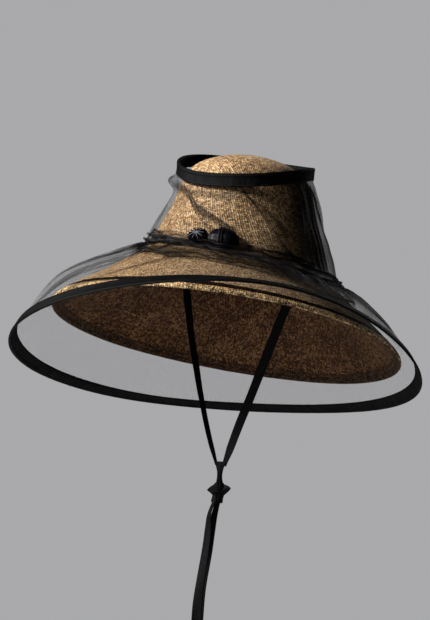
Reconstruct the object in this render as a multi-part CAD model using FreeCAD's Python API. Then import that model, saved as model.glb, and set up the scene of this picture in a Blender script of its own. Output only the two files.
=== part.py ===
# Straw sun hat with a lift-off tulle veil and a chin tie.
# Row frame: origin at the middle of the head opening, where the crown meets the brim;
# +Z up along the crown, the wearer looks along -Y, the wearer's left is +X. Millimetres.
import FreeCAD, Part
import math, os

V = FreeCAD.Vector
os.makedirs("parts", exist_ok=True)

# ------------------------------------------------------------------ driving dimensions
STRAW_T = 3.0            # woven straw cloth, as a wall
BRIM_R = 209.0           # brim edge radius
STRAW_EDGE_R = 205.5     # the straw ends inside the folded hem
HEM_FOLD_IN_R = 197.0    # inner edge of the folded straw hem
HEM_FOLD_T = 1.3         # thickness of the folded hem strip
BRIM_WIRE_T = 1.8        # flat spring wire in the brim edge, thickness
OVAL = 0.03              # head opening is this much longer front to back
TILT_X, TILT_Y = 0.0274, -0.1019   # slope of the brim plane: front up, back down
BRIM_CX, BRIM_CY = -4.0, -3.6      # brim centre, off the crown axis

SWEAT_T = 1.5            # sweatband
NET_T = 0.8              # tulle, as a wall
NET_OFF = 2.5            # tulle mid surface above the straw
ELASTIC_T = 1.0          # elastic that grips the crown
SASH_H = 20.0            # gathered sash, height
SASH_BULGE = 7.2         # gathered sash, thickness
SASH_Z0, SASH_GX, SASH_GY = 3.0, -0.145, -0.046   # plane of the sash

TOP_R = 84.05            # veil's top ring, mean radius
TOP_OVAL = 2.95          # it is this much longer towards front left and back right
TOP_H = 16.0             # its binding, height
TOP_T = 3.4
TOP_C = (-3.2, -5.0, 115.4)
TOP_GX, TOP_GY = -0.182, 0.271    # it stands tipped, high at the back
TOP_Z2C, TOP_Z2S = 3.55, 1.25     # and is sprung a little out of flat
TOP_WIRE_W, TOP_WIRE_T = 3.0, 1.4    # flat spring wire in it

HOOP_R = 234.7           # veil's outer hoop, a sprung wire that has taken a gentle wave
HOOP_C = (-13.1, -8.4, -107.45)
HOOP_RADIUS = ((2, -9.2, 4.7), (3, -3.5, 0.4))                          # added, against angle
HOOP_RISE = ((1, 42.1, -27.6), (2, 2.6, -7.45), (3, 1.65, -1.5))
HOOP_W = 16.6            # binding width
HOOP_T = 3.6             # binding thickness
HOOP_SLOPE = ((0, 43.0, 0.0), (1, -2.8, -4.4), (2, -4.0, 13.6), (3, 1.2, 5.4))   # binding slopes outward and down, degrees
HOOP_WIRE_W, HOOP_WIRE_T = 3.2, 1.8

RIBBON_D = 11.0          # chin ribbon width
TIE_X = 96.5             # ribbon ends, either side of the head opening
TIE_Y = 7.5
TIE_Z = -6.5

N_AROUND = 24

# outer face of the straw: radius, height, share of the brim's tilt
HAT = [
    (22.0, 130.8, 0.010), (42.0, 126.0, 0.012), (59.0, 118.5, 0.015), (71.0, 108.5, 0.02),
    (78.0, 95.0, 0.025), (82.0, 80.0, 0.03), (86.0, 65.0, 0.045), (91.5, 50.0, 0.07),
    (98.0, 34.5, 0.12), (104.5, 17.0, 0.23), (111.0, 0.5, 0.43), (119.0, -10.0, 0.70),
    (131.0, -20.0, 0.90), (150.0, -36.0, 0.97), (171.0, -52.0, 0.99), (192.0, -68.0, 1.0),
    (209.0, -86.0, 1.0), (222.0, -103.0, 1.0),
]
S_JOIN = 10.0            # station where crown and brim are sewn together
S_EDGE = 16.0            # station of the brim edge

_prof = Part.BSplineCurve()
_prof.interpolate(Points=[V(r, z, w * 100.0) for r, z, w in HAT],
                  Parameters=[float(i) for i in range(len(HAT))])


def clamp(x, a=0.0, b=1.0):
    return max(a, min(b, x))


def smooth(x):
    x = clamp(x)
    return x * x * (3 - 2 * x)


def wave(terms, t):
    return sum(a * math.cos(n * t) + b * math.sin(n * t) for n, a, b in terms)


def station(s):
    """radius, height, tilt share and outward normal of the straw's outer face"""
    p = _prof.value(s)
    a, b = max(0.0, s - 0.02), min(len(HAT) - 1.0, s + 0.02)
    q0, q1 = _prof.value(a), _prof.value(b)
    dr, dz = q1.x - q0.x, q1.y - q0.y
    m = math.hypot(dr, dz)
    return p.x, p.y, p.z / 100.0, -dz / m, dr / m


def surf(s, t, d=0.0):
    """a point on the straw's outer face, at angle t round the hat, d outside it"""
    r, z, w, nr, nz = station(s)
    ov = OVAL * smooth((r - 55.0) / 25.0) * (1 - smooth((r - 120.0) / 60.0))
    k = clamp((r - 94.0) / 115.0)
    r2 = r + d * nr
    x = BRIM_CX * k + r2 * (1 - ov) * math.cos(t)
    y = BRIM_CY * k + r2 * (1 + ov) * math.sin(t)
    return V(x, y, z + d * nz + w * (TILT_X * x + TILT_Y * y))


def s_at_r(r):
    a, b = 0.0, len(HAT) - 1.0
    for _ in range(50):
        m = (a + b) / 2
        if _prof.value(m).x < r:
            a = m
        else:
            b = m
    return (a + b) / 2


def s_at_z(z, t):
    a, b = 0.0, len(HAT) - 1.0
    for _ in range(50):
        m = (a + b) / 2
        if surf(m, t).z > z:
            a = m
        else:
            b = m
    return (a + b) / 2


def spline(pts, periodic=False):
    c = Part.BSplineCurve()
    c.interpolate(Points=pts, PeriodicFlag=periodic)
    return c


def section(sides):
    """a closed wire from sides given as point lists; each side starts where the last ends"""
    edges = []
    for pts in sides:
        if len(pts) == 2:
            edges.append(Part.LineSegment(pts[0], pts[1]).toShape())
        else:
            edges.append(spline(pts).toShape())
    return Part.Wire(edges)


def around(profile, n=N_AROUND):
    """a closed ring through sections taken round the hat"""
    wires = [section(profile(2 * math.pi * i / n)) for i in range(n)]
    return Part.makeLoft(wires, True, False, True)


def band(lo_d, hi_d, s_list):
    """section between two offsets of the straw face, over a run of stations"""
    def prof(t):
        hi = [surf(s, t, hi_d) for s in s_list(t)]
        lo = [surf(s, t, lo_d) for s in s_list(t)]
        return [hi, [hi[-1], lo[-1]], lo[::-1], [lo[0], hi[0]]]
    return prof


def plug(stations, d):
    """solid filling everything inside an offset of the straw face"""
    wires = []
    for s in stations:
        c = spline([surf(s, 2 * math.pi * i / N_AROUND, d) for i in range(N_AROUND)], True)
        wires.append(Part.Wire([c.toShape()]))
    return Part.makeLoft(wires, True, False)


def steps(a, b, n):
    return [a + (b - a) * i / (n - 1.0) for i in range(n)]


nodes = {}


def put(name, shape):
    if shape.ShapeType == "Compound" and len(shape.Solids) == 1:
        shape = shape.Solids[0]
    nodes[name] = shape
    bb = shape.BoundBox
    print("%-20s %-9s valid=%s solids=%d vol=%9.0f faces=%d  z %.0f..%.0f" % (
        name, shape.ShapeType, shape.isValid(), len(shape.Solids), shape.Volume,
        len(shape.Faces), bb.ZMin, bb.ZMax))


# ------------------------------------------------------------------ straw hat
s_straw = s_at_r(STRAW_EDGE_R)
outer = plug([0, 1, 2, 3, 4, 5, 6, 7, 8, 9, 10, 11, 12, 13, 14, 15, s_straw], 0.0)
inner = plug([0, 1, 2, 3, 4, 5, 6, 7, 8, 9, 10, 11, 12, 13, 14, 15, 16, 16.8], -STRAW_T)
shell = outer.cut(inner)
r0, z0, w0, _, _ = station(S_JOIN)
nrm = V(-w0 * TILT_X, -w0 * TILT_Y, 1.0).normalize()
upper = Part.makeBox(600, 600, 300, V(-300, -300, 0))
rot = FreeCAD.Rotation(V(0, 0, 1), nrm)
upper.Placement = FreeCAD.Placement(V(0, 0, z0), rot)
lower = Part.makeBox(600, 600, 300, V(-300, -300, -300))
lower.Placement = FreeCAD.Placement(V(0, 0, z0), rot)
put("straw_crown", shell.common(upper))
put("straw_brim", shell.common(lower))

# straw strip folded round the edge, with the wire in its fold
s_in, s_out, s_cav = s_at_r(HEM_FOLD_IN_R), s_at_r(BRIM_R + 1.2), s_at_r(BRIM_R - 0.2)
fold = around(band(-STRAW_T - 0.3 - HEM_FOLD_T, 0.3 + HEM_FOLD_T, lambda t: steps(s_in, s_out, 4)))
cav = around(band(-STRAW_T - 0.3, 0.3, lambda t: steps(s_in - 0.3, s_cav, 5)))
put("brim_hem", fold.cut(cav))


def flat_section(c, u, v, w, h):
    """rectangle about c, w along u and h along v"""
    u, v = u * (w / 2), v * (h / 2)
    q = [c - u + v, c + u + v, c + u - v, c - u - v]
    return [[q[0], q[1]], [q[1], q[2]], [q[2], q[3]], [q[3], q[0]]]


put("brim_wire", around(band(-STRAW_T / 2 - BRIM_WIRE_T / 2, -STRAW_T / 2 + BRIM_WIRE_T / 2,
                             lambda t: [s_at_r(BRIM_R - 2.9), s_at_r(BRIM_R - 0.7)])))

# sweatband inside the crown, just above the head opening
put("sweatband", around(band(-STRAW_T - 0.4 - SWEAT_T, -STRAW_T - 0.4,
                             lambda t: steps(8.0, 9.8, 5))))

# tabs sewn to the sweatband, which carry the chin ribbons
TAB_W, TAB_T = 13.0, 1.4
ta = math.atan2(TIE_Y, 103.0)
for name, tc in (("tie_anchor_left", ta), ("tie_anchor_right", math.pi - ta)):
    d1 = -STRAW_T - 0.4 - SWEAT_T - 0.65 - TAB_T / 2
    p_hi, p_lo = surf(9.05, tc, d1), surf(9.9, tc, d1)
    down = (p_lo - p_hi)
    length = down.Length
    down.normalize()
    side = V(-math.sin(tc), math.cos(tc), 0)
    face = side.cross(down).normalize()
    side = down.cross(face).normalize()
    tab = Part.makeBox(TAB_W, TAB_T, length, V(-TAB_W / 2, -TAB_T / 2, 0))
    tab = tab.makeFillet(0.5, [e for e in tab.Edges if abs(e.Vertexes[0].Z - e.Vertexes[1].Z) > 1])
    tab.transformShape(FreeCAD.Matrix(side.x, face.x, -down.x, p_lo.x,
                                      side.y, face.y, -down.y, p_lo.y,
                                      side.z, face.z, -down.z, p_lo.z, 0, 0, 0, 1))
    put(name, tab)


# ------------------------------------------------------------------ veil: crown part
def sash_zc(t):
    x, y = 113.0 * math.cos(t), 113.0 * math.sin(t)
    return SASH_Z0 + SASH_GX * x + SASH_GY * y


def sash_s(t, f):
    """station at a share f of the sash's half height, 1 at its top edge"""
    return s_at_z(sash_zc(t) + f * SASH_H / 2, t)


def top_point(t, r, h):
    r = r - TOP_OVAL * math.sin(2 * t)
    x = TOP_C[0] + r * math.cos(t)
    y = TOP_C[1] + r * math.sin(t)
    return V(x, y, TOP_C[2] + TOP_GX * (x - TOP_C[0]) + TOP_GY * (y - TOP_C[1])
             + TOP_Z2C * math.cos(2 * t) + TOP_Z2S * math.sin(2 * t) + h)


def top_section(t):
    a, b, h = TOP_R - TOP_T / 2, TOP_R + TOP_T / 2, TOP_H / 2
    q = [top_point(t, b, -h), top_point(t, b, h), top_point(t, a, h), top_point(t, a, -h)]
    return [[q[0], q[1]], [q[1], q[2]], [q[2], q[3]], [q[3], q[0]]]


binding = around(top_section)


def top_wire(w, h):
    up = V(0, 0, 1)
    return around(lambda t: flat_section(top_point(t, TOP_R, TOP_H / 2 - 2.8), V(math.cos(t), math.sin(t), 0), up, h, w))


put("top_ring_binding", binding.cut(top_wire(TOP_WIRE_W + 0.3, TOP_WIRE_T + 0.3)))
put("top_ring_wire", top_wire(TOP_WIRE_W, TOP_WIRE_T))


def crown_net(t):
    # the net leaves the straw a little below the ring
    s_hi = max(4.6, s_at_z(top_point(t, TOP_R, -TOP_H / 2).z - 14.0, t))

    def line(d):
        pts = [surf(s, t, NET_OFF + d) for s in steps(sash_s(t, -0.3), s_hi, 11)]
        end = top_point(t, TOP_R + d, -TOP_H / 2 - 0.1)
        mid = (pts[-1] + end) * 0.5 + V(math.cos(t), math.sin(t), 0) * 0.8
        return pts + [mid, end]
    hi, lo = line(NET_T / 2), line(-NET_T / 2)
    return [hi, [hi[-1], lo[-1]], lo[::-1], [lo[0], hi[0]]]


put("veil_crown_net", around(crown_net, 36))

# elastic under the net
put("crown_elastic", around(band(0.5, 0.5 + ELASTIC_T,
                                 lambda t: steps(sash_s(t, 0.45), sash_s(t, -0.45), 4))))


def sash_section(t):
    base = NET_OFF + NET_T / 2 + 0.7
    inn = [surf(s, t, base) for s in steps(sash_s(t, 1.0), sash_s(t, -1.0), 11)]
    out = [surf(sash_s(t, f), t, base + 1.0 + (SASH_BULGE - 1.0) * (1 - f * f))
           for f in (1.0, 0.6, 0.2, -0.2, -0.6, -1.0)]
    return [out, [out[-1], inn[-1]], inn[::-1], [inn[0], out[0]]]


sash = around(sash_section, 36)
put("sash", sash)

# ornaments tied in the sash, at the front left: a flattened knot and a pleated rosette
keep_out = plug([3, 4, 5, 6, 7, 8, 9, 10, 11, 12, 13, 14], NET_OFF + NET_T / 2 + 0.45)


def lens(theta_deg, z, r, a, b, c):
    """ellipsoid: half sizes a round the hat, b up, c outward"""
    t = math.radians(theta_deg)
    m = FreeCAD.Matrix()
    radial, tang = V(math.cos(t), math.sin(t), 0), V(-math.sin(t), math.cos(t), 0)
    lean = math.radians(20)
    out = radial * math.cos(lean) + V(0, 0, math.sin(lean))
    up = V(0, 0, math.cos(lean)) - radial * math.sin(lean)
    p = radial * r + V(0, 0, z)
    m = FreeCAD.Matrix(tang.x * a, up.x * b, out.x * c, p.x,
                       tang.y * a, up.y * b, out.y * c, p.y,
                       tang.z * a, up.z * b, out.z * c, p.z, 0, 0, 0, 1)
    return Part.makeSphere(1.0).transformGeometry(m)


knot_orn = lens(-56.0, 10.7, 112.5, 19.0, 15.0, 12.5).cut(sash).cut(keep_out)
knot_orn = max(knot_orn.Solids, key=lambda q: q.Volume)
put("sash_knot", knot_orn)
ros = lens(-70.5, 12.0, 112.5, 13.0, 9.0, 10.0).cut(lens(-56.0, 10.7, 112.5, 19.2, 15.2, 12.7)).cut(sash).cut(keep_out)
ros = max(ros.Solids, key=lambda q: q.Volume)
put("sash_rosette", ros)


# ------------------------------------------------------------------ veil: skirt and hoop
def hoop(t):
    r = HOOP_R + wave(HOOP_RADIUS, t)
    return V(HOOP_C[0] + r * math.cos(t), HOOP_C[1] + r * math.sin(t), HOOP_C[2] + wave(HOOP_RISE, t))


def hoop_dirs(t):
    a = math.radians(wave(HOOP_SLOPE, t))
    rad = V(math.cos(t), math.sin(t), 0)
    u = rad * math.cos(a) - V(0, 0, math.sin(a))
    return u, rad * math.sin(a) + V(0, 0, math.cos(a))


def hoop_tape(offset, w, h):
    def prof(t):
        u, v = hoop_dirs(t)
        return flat_section(hoop(t) + u * offset, u, v, w, h)
    return around(prof)


in_tape = HOOP_W / 2 - 2.9
put("hem_binding", hoop_tape(0.0, HOOP_W, HOOP_T).cut(hoop_tape(in_tape, HOOP_WIRE_W + 0.3, HOOP_WIRE_T + 0.3)))
put("hem_wire", hoop_tape(in_tape, HOOP_WIRE_W, HOOP_WIRE_T))


def skirt(t):
    s0 = sash_s(t, -1.0) + 0.12
    a = [surf(s0, t, NET_OFF + 1.5)]
    a += [surf(s0 + (13.2 - s0) * 0.5, t, 11.0), surf(13.4, t, 15.0), surf(14.4, t, 14.0),
          surf(15.3, t, 11.0), surf(16.0, t, 8.0)]
    u, v = hoop_dirs(t)
    end = hoop(t) - u * (HOOP_W / 2 + 0.4)
    rad = V(math.cos(t), math.sin(t), 0)
    # where the hoop stands higher than the brim edge the net runs straight out to it
    p0 = a[3]
    for i in (4, 5):
        f = (a[i] - p0).dot(rad) / (end - p0).dot(rad)
        z_line = p0.z + (end.z - p0.z) * f
        a[i].z = a[i].z + 0.5 * ((z_line - a[i].z) + math.hypot(z_line - a[i].z, 3.0))
    # leave room for a smooth last run to the hoop
    if (end - a[5]).Length < 14.0:
        a.pop()
    a.append(end)

    def line(d):
        out = []
        for i, p in enumerate(a):
            q0, q1 = a[max(i - 1, 0)], a[min(i + 1, len(a) - 1)]
            g = q1 - q0
            gr = g.dot(rad)
            n = (rad * (-g.z) + V(0, 0, gr)).normalize()
            out.append(p + n * d)
        return out
    hi, lo = line(NET_T / 2), line(-NET_T / 2)
    return [hi, [hi[-1], lo[-1]], lo[::-1], [lo[0], hi[0]]]


put("veil_skirt_net", around(skirt))

# ------------------------------------------------------------------ chin tie
RIBBON_LEFT = [(TIE_X, TIE_Y, TIE_Z), (82.0, 1.5, -50.0), (64.5, 1.5, -99.0),
               (44.0, 4.0, -148.0), (22.5, 6.5, -196.0), (7.2, 9.0, -236.0)]
RIBBON_RIGHT = [(-TIE_X, TIE_Y, TIE_Z), (-86.5, 9.0, -50.0), (-70.5, 11.5, -99.0),
                (-50.5, 11.5, -148.0), (-27.0, 8.5, -197.0), (-7.2, 11.0, -236.0)]
TAIL_LEFT = [(4.6, 5.1, -275.0), (1.6, -0.6, -291.0), (1.9, 0.6, -311.0), (2.7, -0.4, -337.0),
             (3.1, -2.3, -366.0), (2.6, -2.8, -395.0), (3.6, -1.6, -421.0), (3.2, 0.6, -443.0)]
TAIL_RIGHT = [(-4.6, 18.7, -275.0), (-8.4, 19.2, -291.0), (-9.4, 17.2, -311.0), (-8.8, 15.6, -336.0),
              (-9.4, 14.0, -362.0), (-9.0, 12.8, -388.0), (-8.2, 13.4, -411.0), (-8.6, 15.2, -430.0)]


def cord(name, pts, d):
    """round stand-in for a ribbon: straight runs joined by tangent arcs"""
    p = [V(*q) for q in pts]
    edges, here, radii = [], p[0], []
    for i in range(1, len(p) - 1):
        a, b = (p[i] - p[i - 1]), (p[i + 1] - p[i])
        la, lb = a.Length, b.Length
        a, b = V(a).normalize(), V(b).normalize()
        turn = math.acos(clamp(a.dot(b), -1, 1))
        cut = 0.45 * min(la, lb)
        r = cut / math.tan(turn / 2)
        radii.append(round(r))
        q0, q1 = p[i] - a * cut, p[i] + b * cut
        # middle of the arc lies between the corner and the chord
        bis = (b - a).normalize()
        mid = p[i] + bis * (r / math.cos(turn / 2) - r)
        edges.append(Part.LineSegment(here, q0).toShape())
        edges.append(Part.Arc(q0, mid, q1).toShape())
        here = q1
    edges.append(Part.LineSegment(here, p[-1]).toShape())
    path = Part.Wire(edges)
    circ = Part.Wire([Part.makeCircle(d / 2, p[0], p[1] - p[0])])
    tube = path.makePipeShell([circ], True, False)
    want = math.pi * d * d / 4 * path.Length
    print("%s radii %s length %.1f volume ratio %.4f" % (name, radii, path.Length, tube.Volume / want))
    return tube


tubes = {}
for name, pts in (("tie_ribbon_left", RIBBON_LEFT), ("tie_ribbon_right", RIBBON_RIGHT),
                  ("tie_tail_left", TAIL_LEFT), ("tie_tail_right", TAIL_RIGHT)):
    tubes[name] = cord(name, pts, RIBBON_D)
    put(name, tubes[name])


def rect(cx, cy, z, a, b):
    q = [V(cx - a, cy - b, z), V(cx + a, cy - b, z), V(cx + a, cy + b, z), V(cx - a, cy + b, z)]
    return Part.makePolygon(q + [q[0]])


collar = Part.makeLoft([rect(0, 10, -233.0, 12.5, 5.0), rect(0, 10, -240.0, 7.5, 4.6),
                        rect(0, 11, -250.0, 4.2, 4.2), rect(0, 12, -257.0, 5.0, 4.8)], True, True)
body = Part.makeBox(14, 13, 16, V(-7, 6, -273))
foot = Part.makeLoft([rect(0, 12.5, -273.0, 7.0, 6.5), rect(-0.5, 12.0, -279.0, 10.0, 11.0)], True, True)
stem = Part.makeBox(9.6, 9.2, 0.6, V(-4.8, 7.6, -257.3))
tk = collar.fuse(stem).fuse(body).fuse(foot)
for t in tubes.values():
    tk = tk.cut(t)
tk = max(tk.Solids, key=lambda q: q.Volume)
put("tie_knot", tk.removeSplitter())


def loop(sign):
    def sec(x, z, a, b):
        q = [V(x, 12.5 - a, z - b), V(x, 12.5 + a, z - b), V(x, 12.5 + a, z + b), V(x, 12.5 - a, z + b)]
        return Part.makePolygon(q + [q[0]])
    return Part.makeLoft([sec(sign * 7.0, -265, 4.0, 6.5), sec(sign * 13.0, -263.5, 4.5, 4.5),
                          sec(sign * 18.5, -261.5, 2.6, 1.6)], True, True)


put("tie_loop_left", loop(1))
put("tie_loop_right", loop(-1))

for name, shape in nodes.items():
    shape.exportStep("parts/%s.step" % name)
print(len(nodes), "nodes")
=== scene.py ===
import bpy, bmesh, math
import numpy as np
from mathutils import Vector, Matrix


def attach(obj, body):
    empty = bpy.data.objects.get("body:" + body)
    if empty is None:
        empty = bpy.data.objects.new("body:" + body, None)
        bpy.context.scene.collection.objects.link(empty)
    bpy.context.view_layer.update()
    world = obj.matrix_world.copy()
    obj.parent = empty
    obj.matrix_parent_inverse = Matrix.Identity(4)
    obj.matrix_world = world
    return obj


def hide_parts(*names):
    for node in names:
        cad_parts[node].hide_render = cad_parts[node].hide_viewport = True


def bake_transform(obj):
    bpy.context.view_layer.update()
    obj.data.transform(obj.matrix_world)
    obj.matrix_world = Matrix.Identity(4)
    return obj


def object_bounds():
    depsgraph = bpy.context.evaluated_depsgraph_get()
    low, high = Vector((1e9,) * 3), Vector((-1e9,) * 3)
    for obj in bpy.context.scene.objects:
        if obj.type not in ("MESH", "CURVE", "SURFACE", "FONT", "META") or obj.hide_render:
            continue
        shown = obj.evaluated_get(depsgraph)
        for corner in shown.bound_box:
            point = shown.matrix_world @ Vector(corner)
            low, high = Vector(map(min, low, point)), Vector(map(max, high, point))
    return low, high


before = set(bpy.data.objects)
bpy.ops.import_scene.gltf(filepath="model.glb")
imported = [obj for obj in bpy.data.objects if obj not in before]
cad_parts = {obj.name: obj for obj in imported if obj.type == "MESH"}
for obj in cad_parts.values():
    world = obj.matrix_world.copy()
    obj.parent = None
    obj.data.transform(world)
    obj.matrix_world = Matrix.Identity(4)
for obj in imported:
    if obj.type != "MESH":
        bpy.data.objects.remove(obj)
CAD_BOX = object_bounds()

MM = 0.001
TAU = 2 * math.pi

# ------------------------------------------------------------------ camera
AZ, EL, ROLL = math.radians(45.0), math.radians(-9.0), math.radians(7.0)
back = Vector((math.sin(AZ) * math.cos(EL), -math.cos(AZ) * math.cos(EL), math.sin(EL)))
right = Vector((math.cos(AZ), math.sin(AZ), 0))
up = back.cross(right)
R = right * math.cos(ROLL) + up * math.sin(ROLL)
U = up * math.cos(ROLL) - right * math.sin(ROLL)
FOCAL = 1801.06
cam_data = bpy.data.cameras.new("camera")
cam = bpy.data.objects.new("camera", cam_data)
bpy.context.scene.collection.objects.link(cam)
ahead = (-back + R * ((215 - 234.03) / FOCAL) - U * ((310 - 266.18) / FOCAL)).normalized()
cam_up = (U - ahead * U.dot(ahead)).normalized()
cam_right = ahead.cross(cam_up)
place = Matrix((cam_right, cam_up, -ahead)).transposed().to_4x4()
place.translation = Vector((-0.004, -0.0036, 0.0)) + back * 2.140
cam.matrix_world = place
cam_data.sensor_fit = "VERTICAL"
cam_data.sensor_height = 24.0
cam_data.sensor_width = 24.0 * 430 / 620
cam_data.lens = FOCAL / 620 * 24.0
cam_data.clip_end = 60
bpy.context.scene.camera = cam

# ------------------------------------------------------------------ dimensions, as in the design
STRAW_T, BRIM_R, STRAW_EDGE_R = 3.0, 209.0, 205.5
OVAL, TILT_X, TILT_Y, BRIM_CX, BRIM_CY = 0.03, 0.0274, -0.1019, -4.0, -3.6
SWEAT_T, NET_OFF = 1.5, 2.5
SASH_H, SASH_Z0, SASH_GX, SASH_GY = 20.0, 3.0, -0.145, -0.046
BRIM_WAVE = ((0, 0.56, 0.0), (1, 0.77, -1.83), (2, 1.15, -1.68), (3, 0.84, 0.0))   # the last two: soft waves in the straw
TOP_R, TOP_OVAL, TOP_H, TOP_T, TOP_C, TOP_GX, TOP_GY = 84.05, 2.95, 16.0, 3.4, (-3.2, -5.0, 115.4), -0.182, 0.271
TOP_Z2C, TOP_Z2S = 3.55, 1.25
HOOP_R, HOOP_C = 234.7, (-13.1, -8.4, -107.45)
HOOP_RADIUS = ((2, -9.2, 4.7), (3, -3.5, 0.4))
HOOP_RISE = ((1, 42.1, -27.6), (2, 2.6, -7.45), (3, 1.65, -1.5))
HOOP_SLOPE = ((0, 43.0, 0.0), (1, -2.8, -4.4), (2, -4.0, 13.6), (3, 1.2, 5.4))
HOOP_W, HOOP_T = 16.6, 3.6
RIBBON_D = 11.0
HAT = np.array([
    (22.0, 130.8, 0.010), (42.0, 126.0, 0.012), (59.0, 118.5, 0.015), (71.0, 108.5, 0.02),
    (78.0, 95.0, 0.025), (82.0, 80.0, 0.03), (86.0, 65.0, 0.045), (91.5, 50.0, 0.07),
    (98.0, 34.5, 0.12), (104.5, 17.0, 0.23), (111.0, 0.5, 0.43), (119.0, -10.0, 0.70),
    (131.0, -20.0, 0.90), (150.0, -36.0, 0.97), (171.0, -52.0, 0.99), (192.0, -68.0, 1.0),
    (209.0, -86.0, 1.0), (222.0, -103.0, 1.0)])


def cubic(x, y):
    """not-a-knot cubic spline through y at x; returns f(q, derivative)"""
    x, y = np.asarray(x, float), np.asarray(y, float)
    n = len(x)
    h = np.diff(x)
    A, b = np.zeros((n, n)), np.zeros((n,) + y.shape[1:])
    for i in range(1, n - 1):
        A[i, i - 1], A[i, i], A[i, i + 1] = h[i - 1], 2 * (h[i - 1] + h[i]), h[i]
        b[i] = 6 * ((y[i + 1] - y[i]) / h[i] - (y[i] - y[i - 1]) / h[i - 1])
    if n > 3:
        A[0, 0], A[0, 1], A[0, 2] = h[1], -(h[0] + h[1]), h[0]
        A[-1, -3], A[-1, -2], A[-1, -1] = h[-1], -(h[-2] + h[-1]), h[-2]
    else:
        A[0, 0] = A[-1, -1] = 1
    M = np.linalg.solve(A, b.reshape(n, -1)).reshape(b.shape)

    def f(q, d=0):
        q = np.asarray(q, float)
        k = np.clip(np.searchsorted(x, q, side="right") - 1, 0, n - 2)
        hh = h[k]
        a0, a1 = (x[k + 1] - q), (q - x[k])
        if y.ndim > 1:
            hh, a0, a1 = hh[..., None], a0[..., None], a1[..., None]
        if d == 0:
            return (M[k] * a0 ** 3 + M[k + 1] * a1 ** 3) / (6 * hh) + (y[k] / hh - M[k] * hh / 6) * a0 + (y[k + 1] / hh - M[k + 1] * hh / 6) * a1
        return (-M[k] * a0 ** 2 + M[k + 1] * a1 ** 2) / (2 * hh) - (y[k] / hh - M[k] * hh / 6) + (y[k + 1] / hh - M[k + 1] * hh / 6)
    return f


_hat = cubic(np.arange(len(HAT)), HAT)
_fine = np.linspace(0, len(HAT) - 1.0, 3401)
_fr = _hat(_fine)
_arc = np.concatenate([[0], np.cumsum(np.hypot(np.diff(_fr[:, 0]), np.diff(_fr[:, 1])))]) + 22.3


def smooth(x):
    x = np.clip(x, 0, 1)
    return x * x * (3 - 2 * x)


def wave(terms, t):
    return sum(a * np.cos(n * t) + b * np.sin(n * t) for n, a, b in terms)


def surf(s, t, d=0.0):
    """points on the straw's outer face, d outside it, in mm; s below 0 runs on over the dome's top"""
    s, t, d = np.broadcast_arrays(np.asarray(s, float), np.asarray(t, float), np.asarray(d, float))
    p, g = _hat(np.maximum(s, 0)), _hat(np.maximum(s, 0), 1)
    r, z, w = p[..., 0], p[..., 1], p[..., 2]
    dr, dz = g[..., 0], g[..., 1]
    g0 = _hat(np.array(0.0), 1)
    q = np.clip(1 + s, 0, 1)
    slope = g0[1] / g0[0]
    r = np.where(s < 0, 22.0 * q, r)
    z = np.where(s < 0, z - slope * 11.0 * (1 - q * q), z)
    dr = np.where(s < 0, 1.0, dr)
    dz = np.where(s < 0, slope * q, dz)
    m = np.hypot(dr, dz)
    nr, nz = -dz / m, dr / m
    ov = OVAL * smooth((r - 55) / 25) * (1 - smooth((r - 120) / 60))
    k = np.clip((r - 94) / 115, 0, 1)
    r2 = r + d * nr
    x = BRIM_CX * k + r2 * (1 - ov) * np.cos(t)
    y = BRIM_CY * k + r2 * (1 + ov) * np.sin(t)
    return np.stack([x, y, z + d * nz + w * (TILT_X * x + TILT_Y * y) + k * k * wave(BRIM_WAVE, t)], -1)


def rho(s):
    """length along the straw from the dome's top, mm"""
    return np.where(s < 0, 22.3 * np.clip(1 + s, 0, 1), np.interp(s, _fine, _arc))


def s_at_r(r):
    return float(np.interp(r, _fr[:, 0], _fine))


def sash_s(t, f):
    """station at a share f of the sash's half height, 1 at its top edge"""
    t = np.asarray(t, float)
    f = np.broadcast_to(np.asarray(f, float), np.broadcast(t, f).shape)
    t = np.broadcast_to(t, f.shape)
    z = SASH_Z0 + SASH_GX * 113 * np.cos(t) + SASH_GY * 113 * np.sin(t) + f * SASH_H / 2
    a, b = np.zeros(t.shape), np.full(t.shape, len(HAT) - 1.0)
    for _ in range(34):
        m = (a + b) / 2
        hi = surf(m, t)[..., 2] > z
        a, b = np.where(hi, m, a), np.where(hi, b, m)
    return (a + b) / 2


def top_point(t, r, h):
    t, r, h = np.broadcast_arrays(np.asarray(t, float), np.asarray(r, float), np.asarray(h, float))
    r = r - TOP_OVAL * np.sin(2 * t)
    x = TOP_C[0] + r * np.cos(t)
    y = TOP_C[1] + r * np.sin(t)
    return np.stack([x, y, TOP_C[2] + TOP_GX * (x - TOP_C[0]) + TOP_GY * (y - TOP_C[1])
                     + TOP_Z2C * np.cos(2 * t) + TOP_Z2S * np.sin(2 * t) + h], -1)


def hoop(t):
    t = np.asarray(t, float)
    r = HOOP_R + wave(HOOP_RADIUS, t)
    return np.stack([HOOP_C[0] + r * np.cos(t), HOOP_C[1] + r * np.sin(t), HOOP_C[2] + wave(HOOP_RISE, t)], -1)


def hoop_dirs(t):
    t = np.asarray(t, float)
    a = np.radians(wave(HOOP_SLOPE, t))[..., None]
    rad = np.stack([np.cos(t), np.sin(t), 0 * t], -1)
    z = np.array([0, 0, 1.0])
    return rad * np.cos(a) - z * np.sin(a), rad * np.sin(a) + z * np.cos(a)


# ------------------------------------------------------------------ small tools
def noise1(seed, n, knots):
    """smooth closed noise round a ring, n values, about -1..1"""
    rng = np.random.default_rng(seed)
    u = np.arange(n) / n
    out = np.zeros(n)
    for k in range(1, knots + 1):
        a, ph = rng.normal() / math.sqrt(knots), rng.uniform(0, TAU)
        out += a * np.cos(TAU * k * u + ph)
    return out


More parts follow.
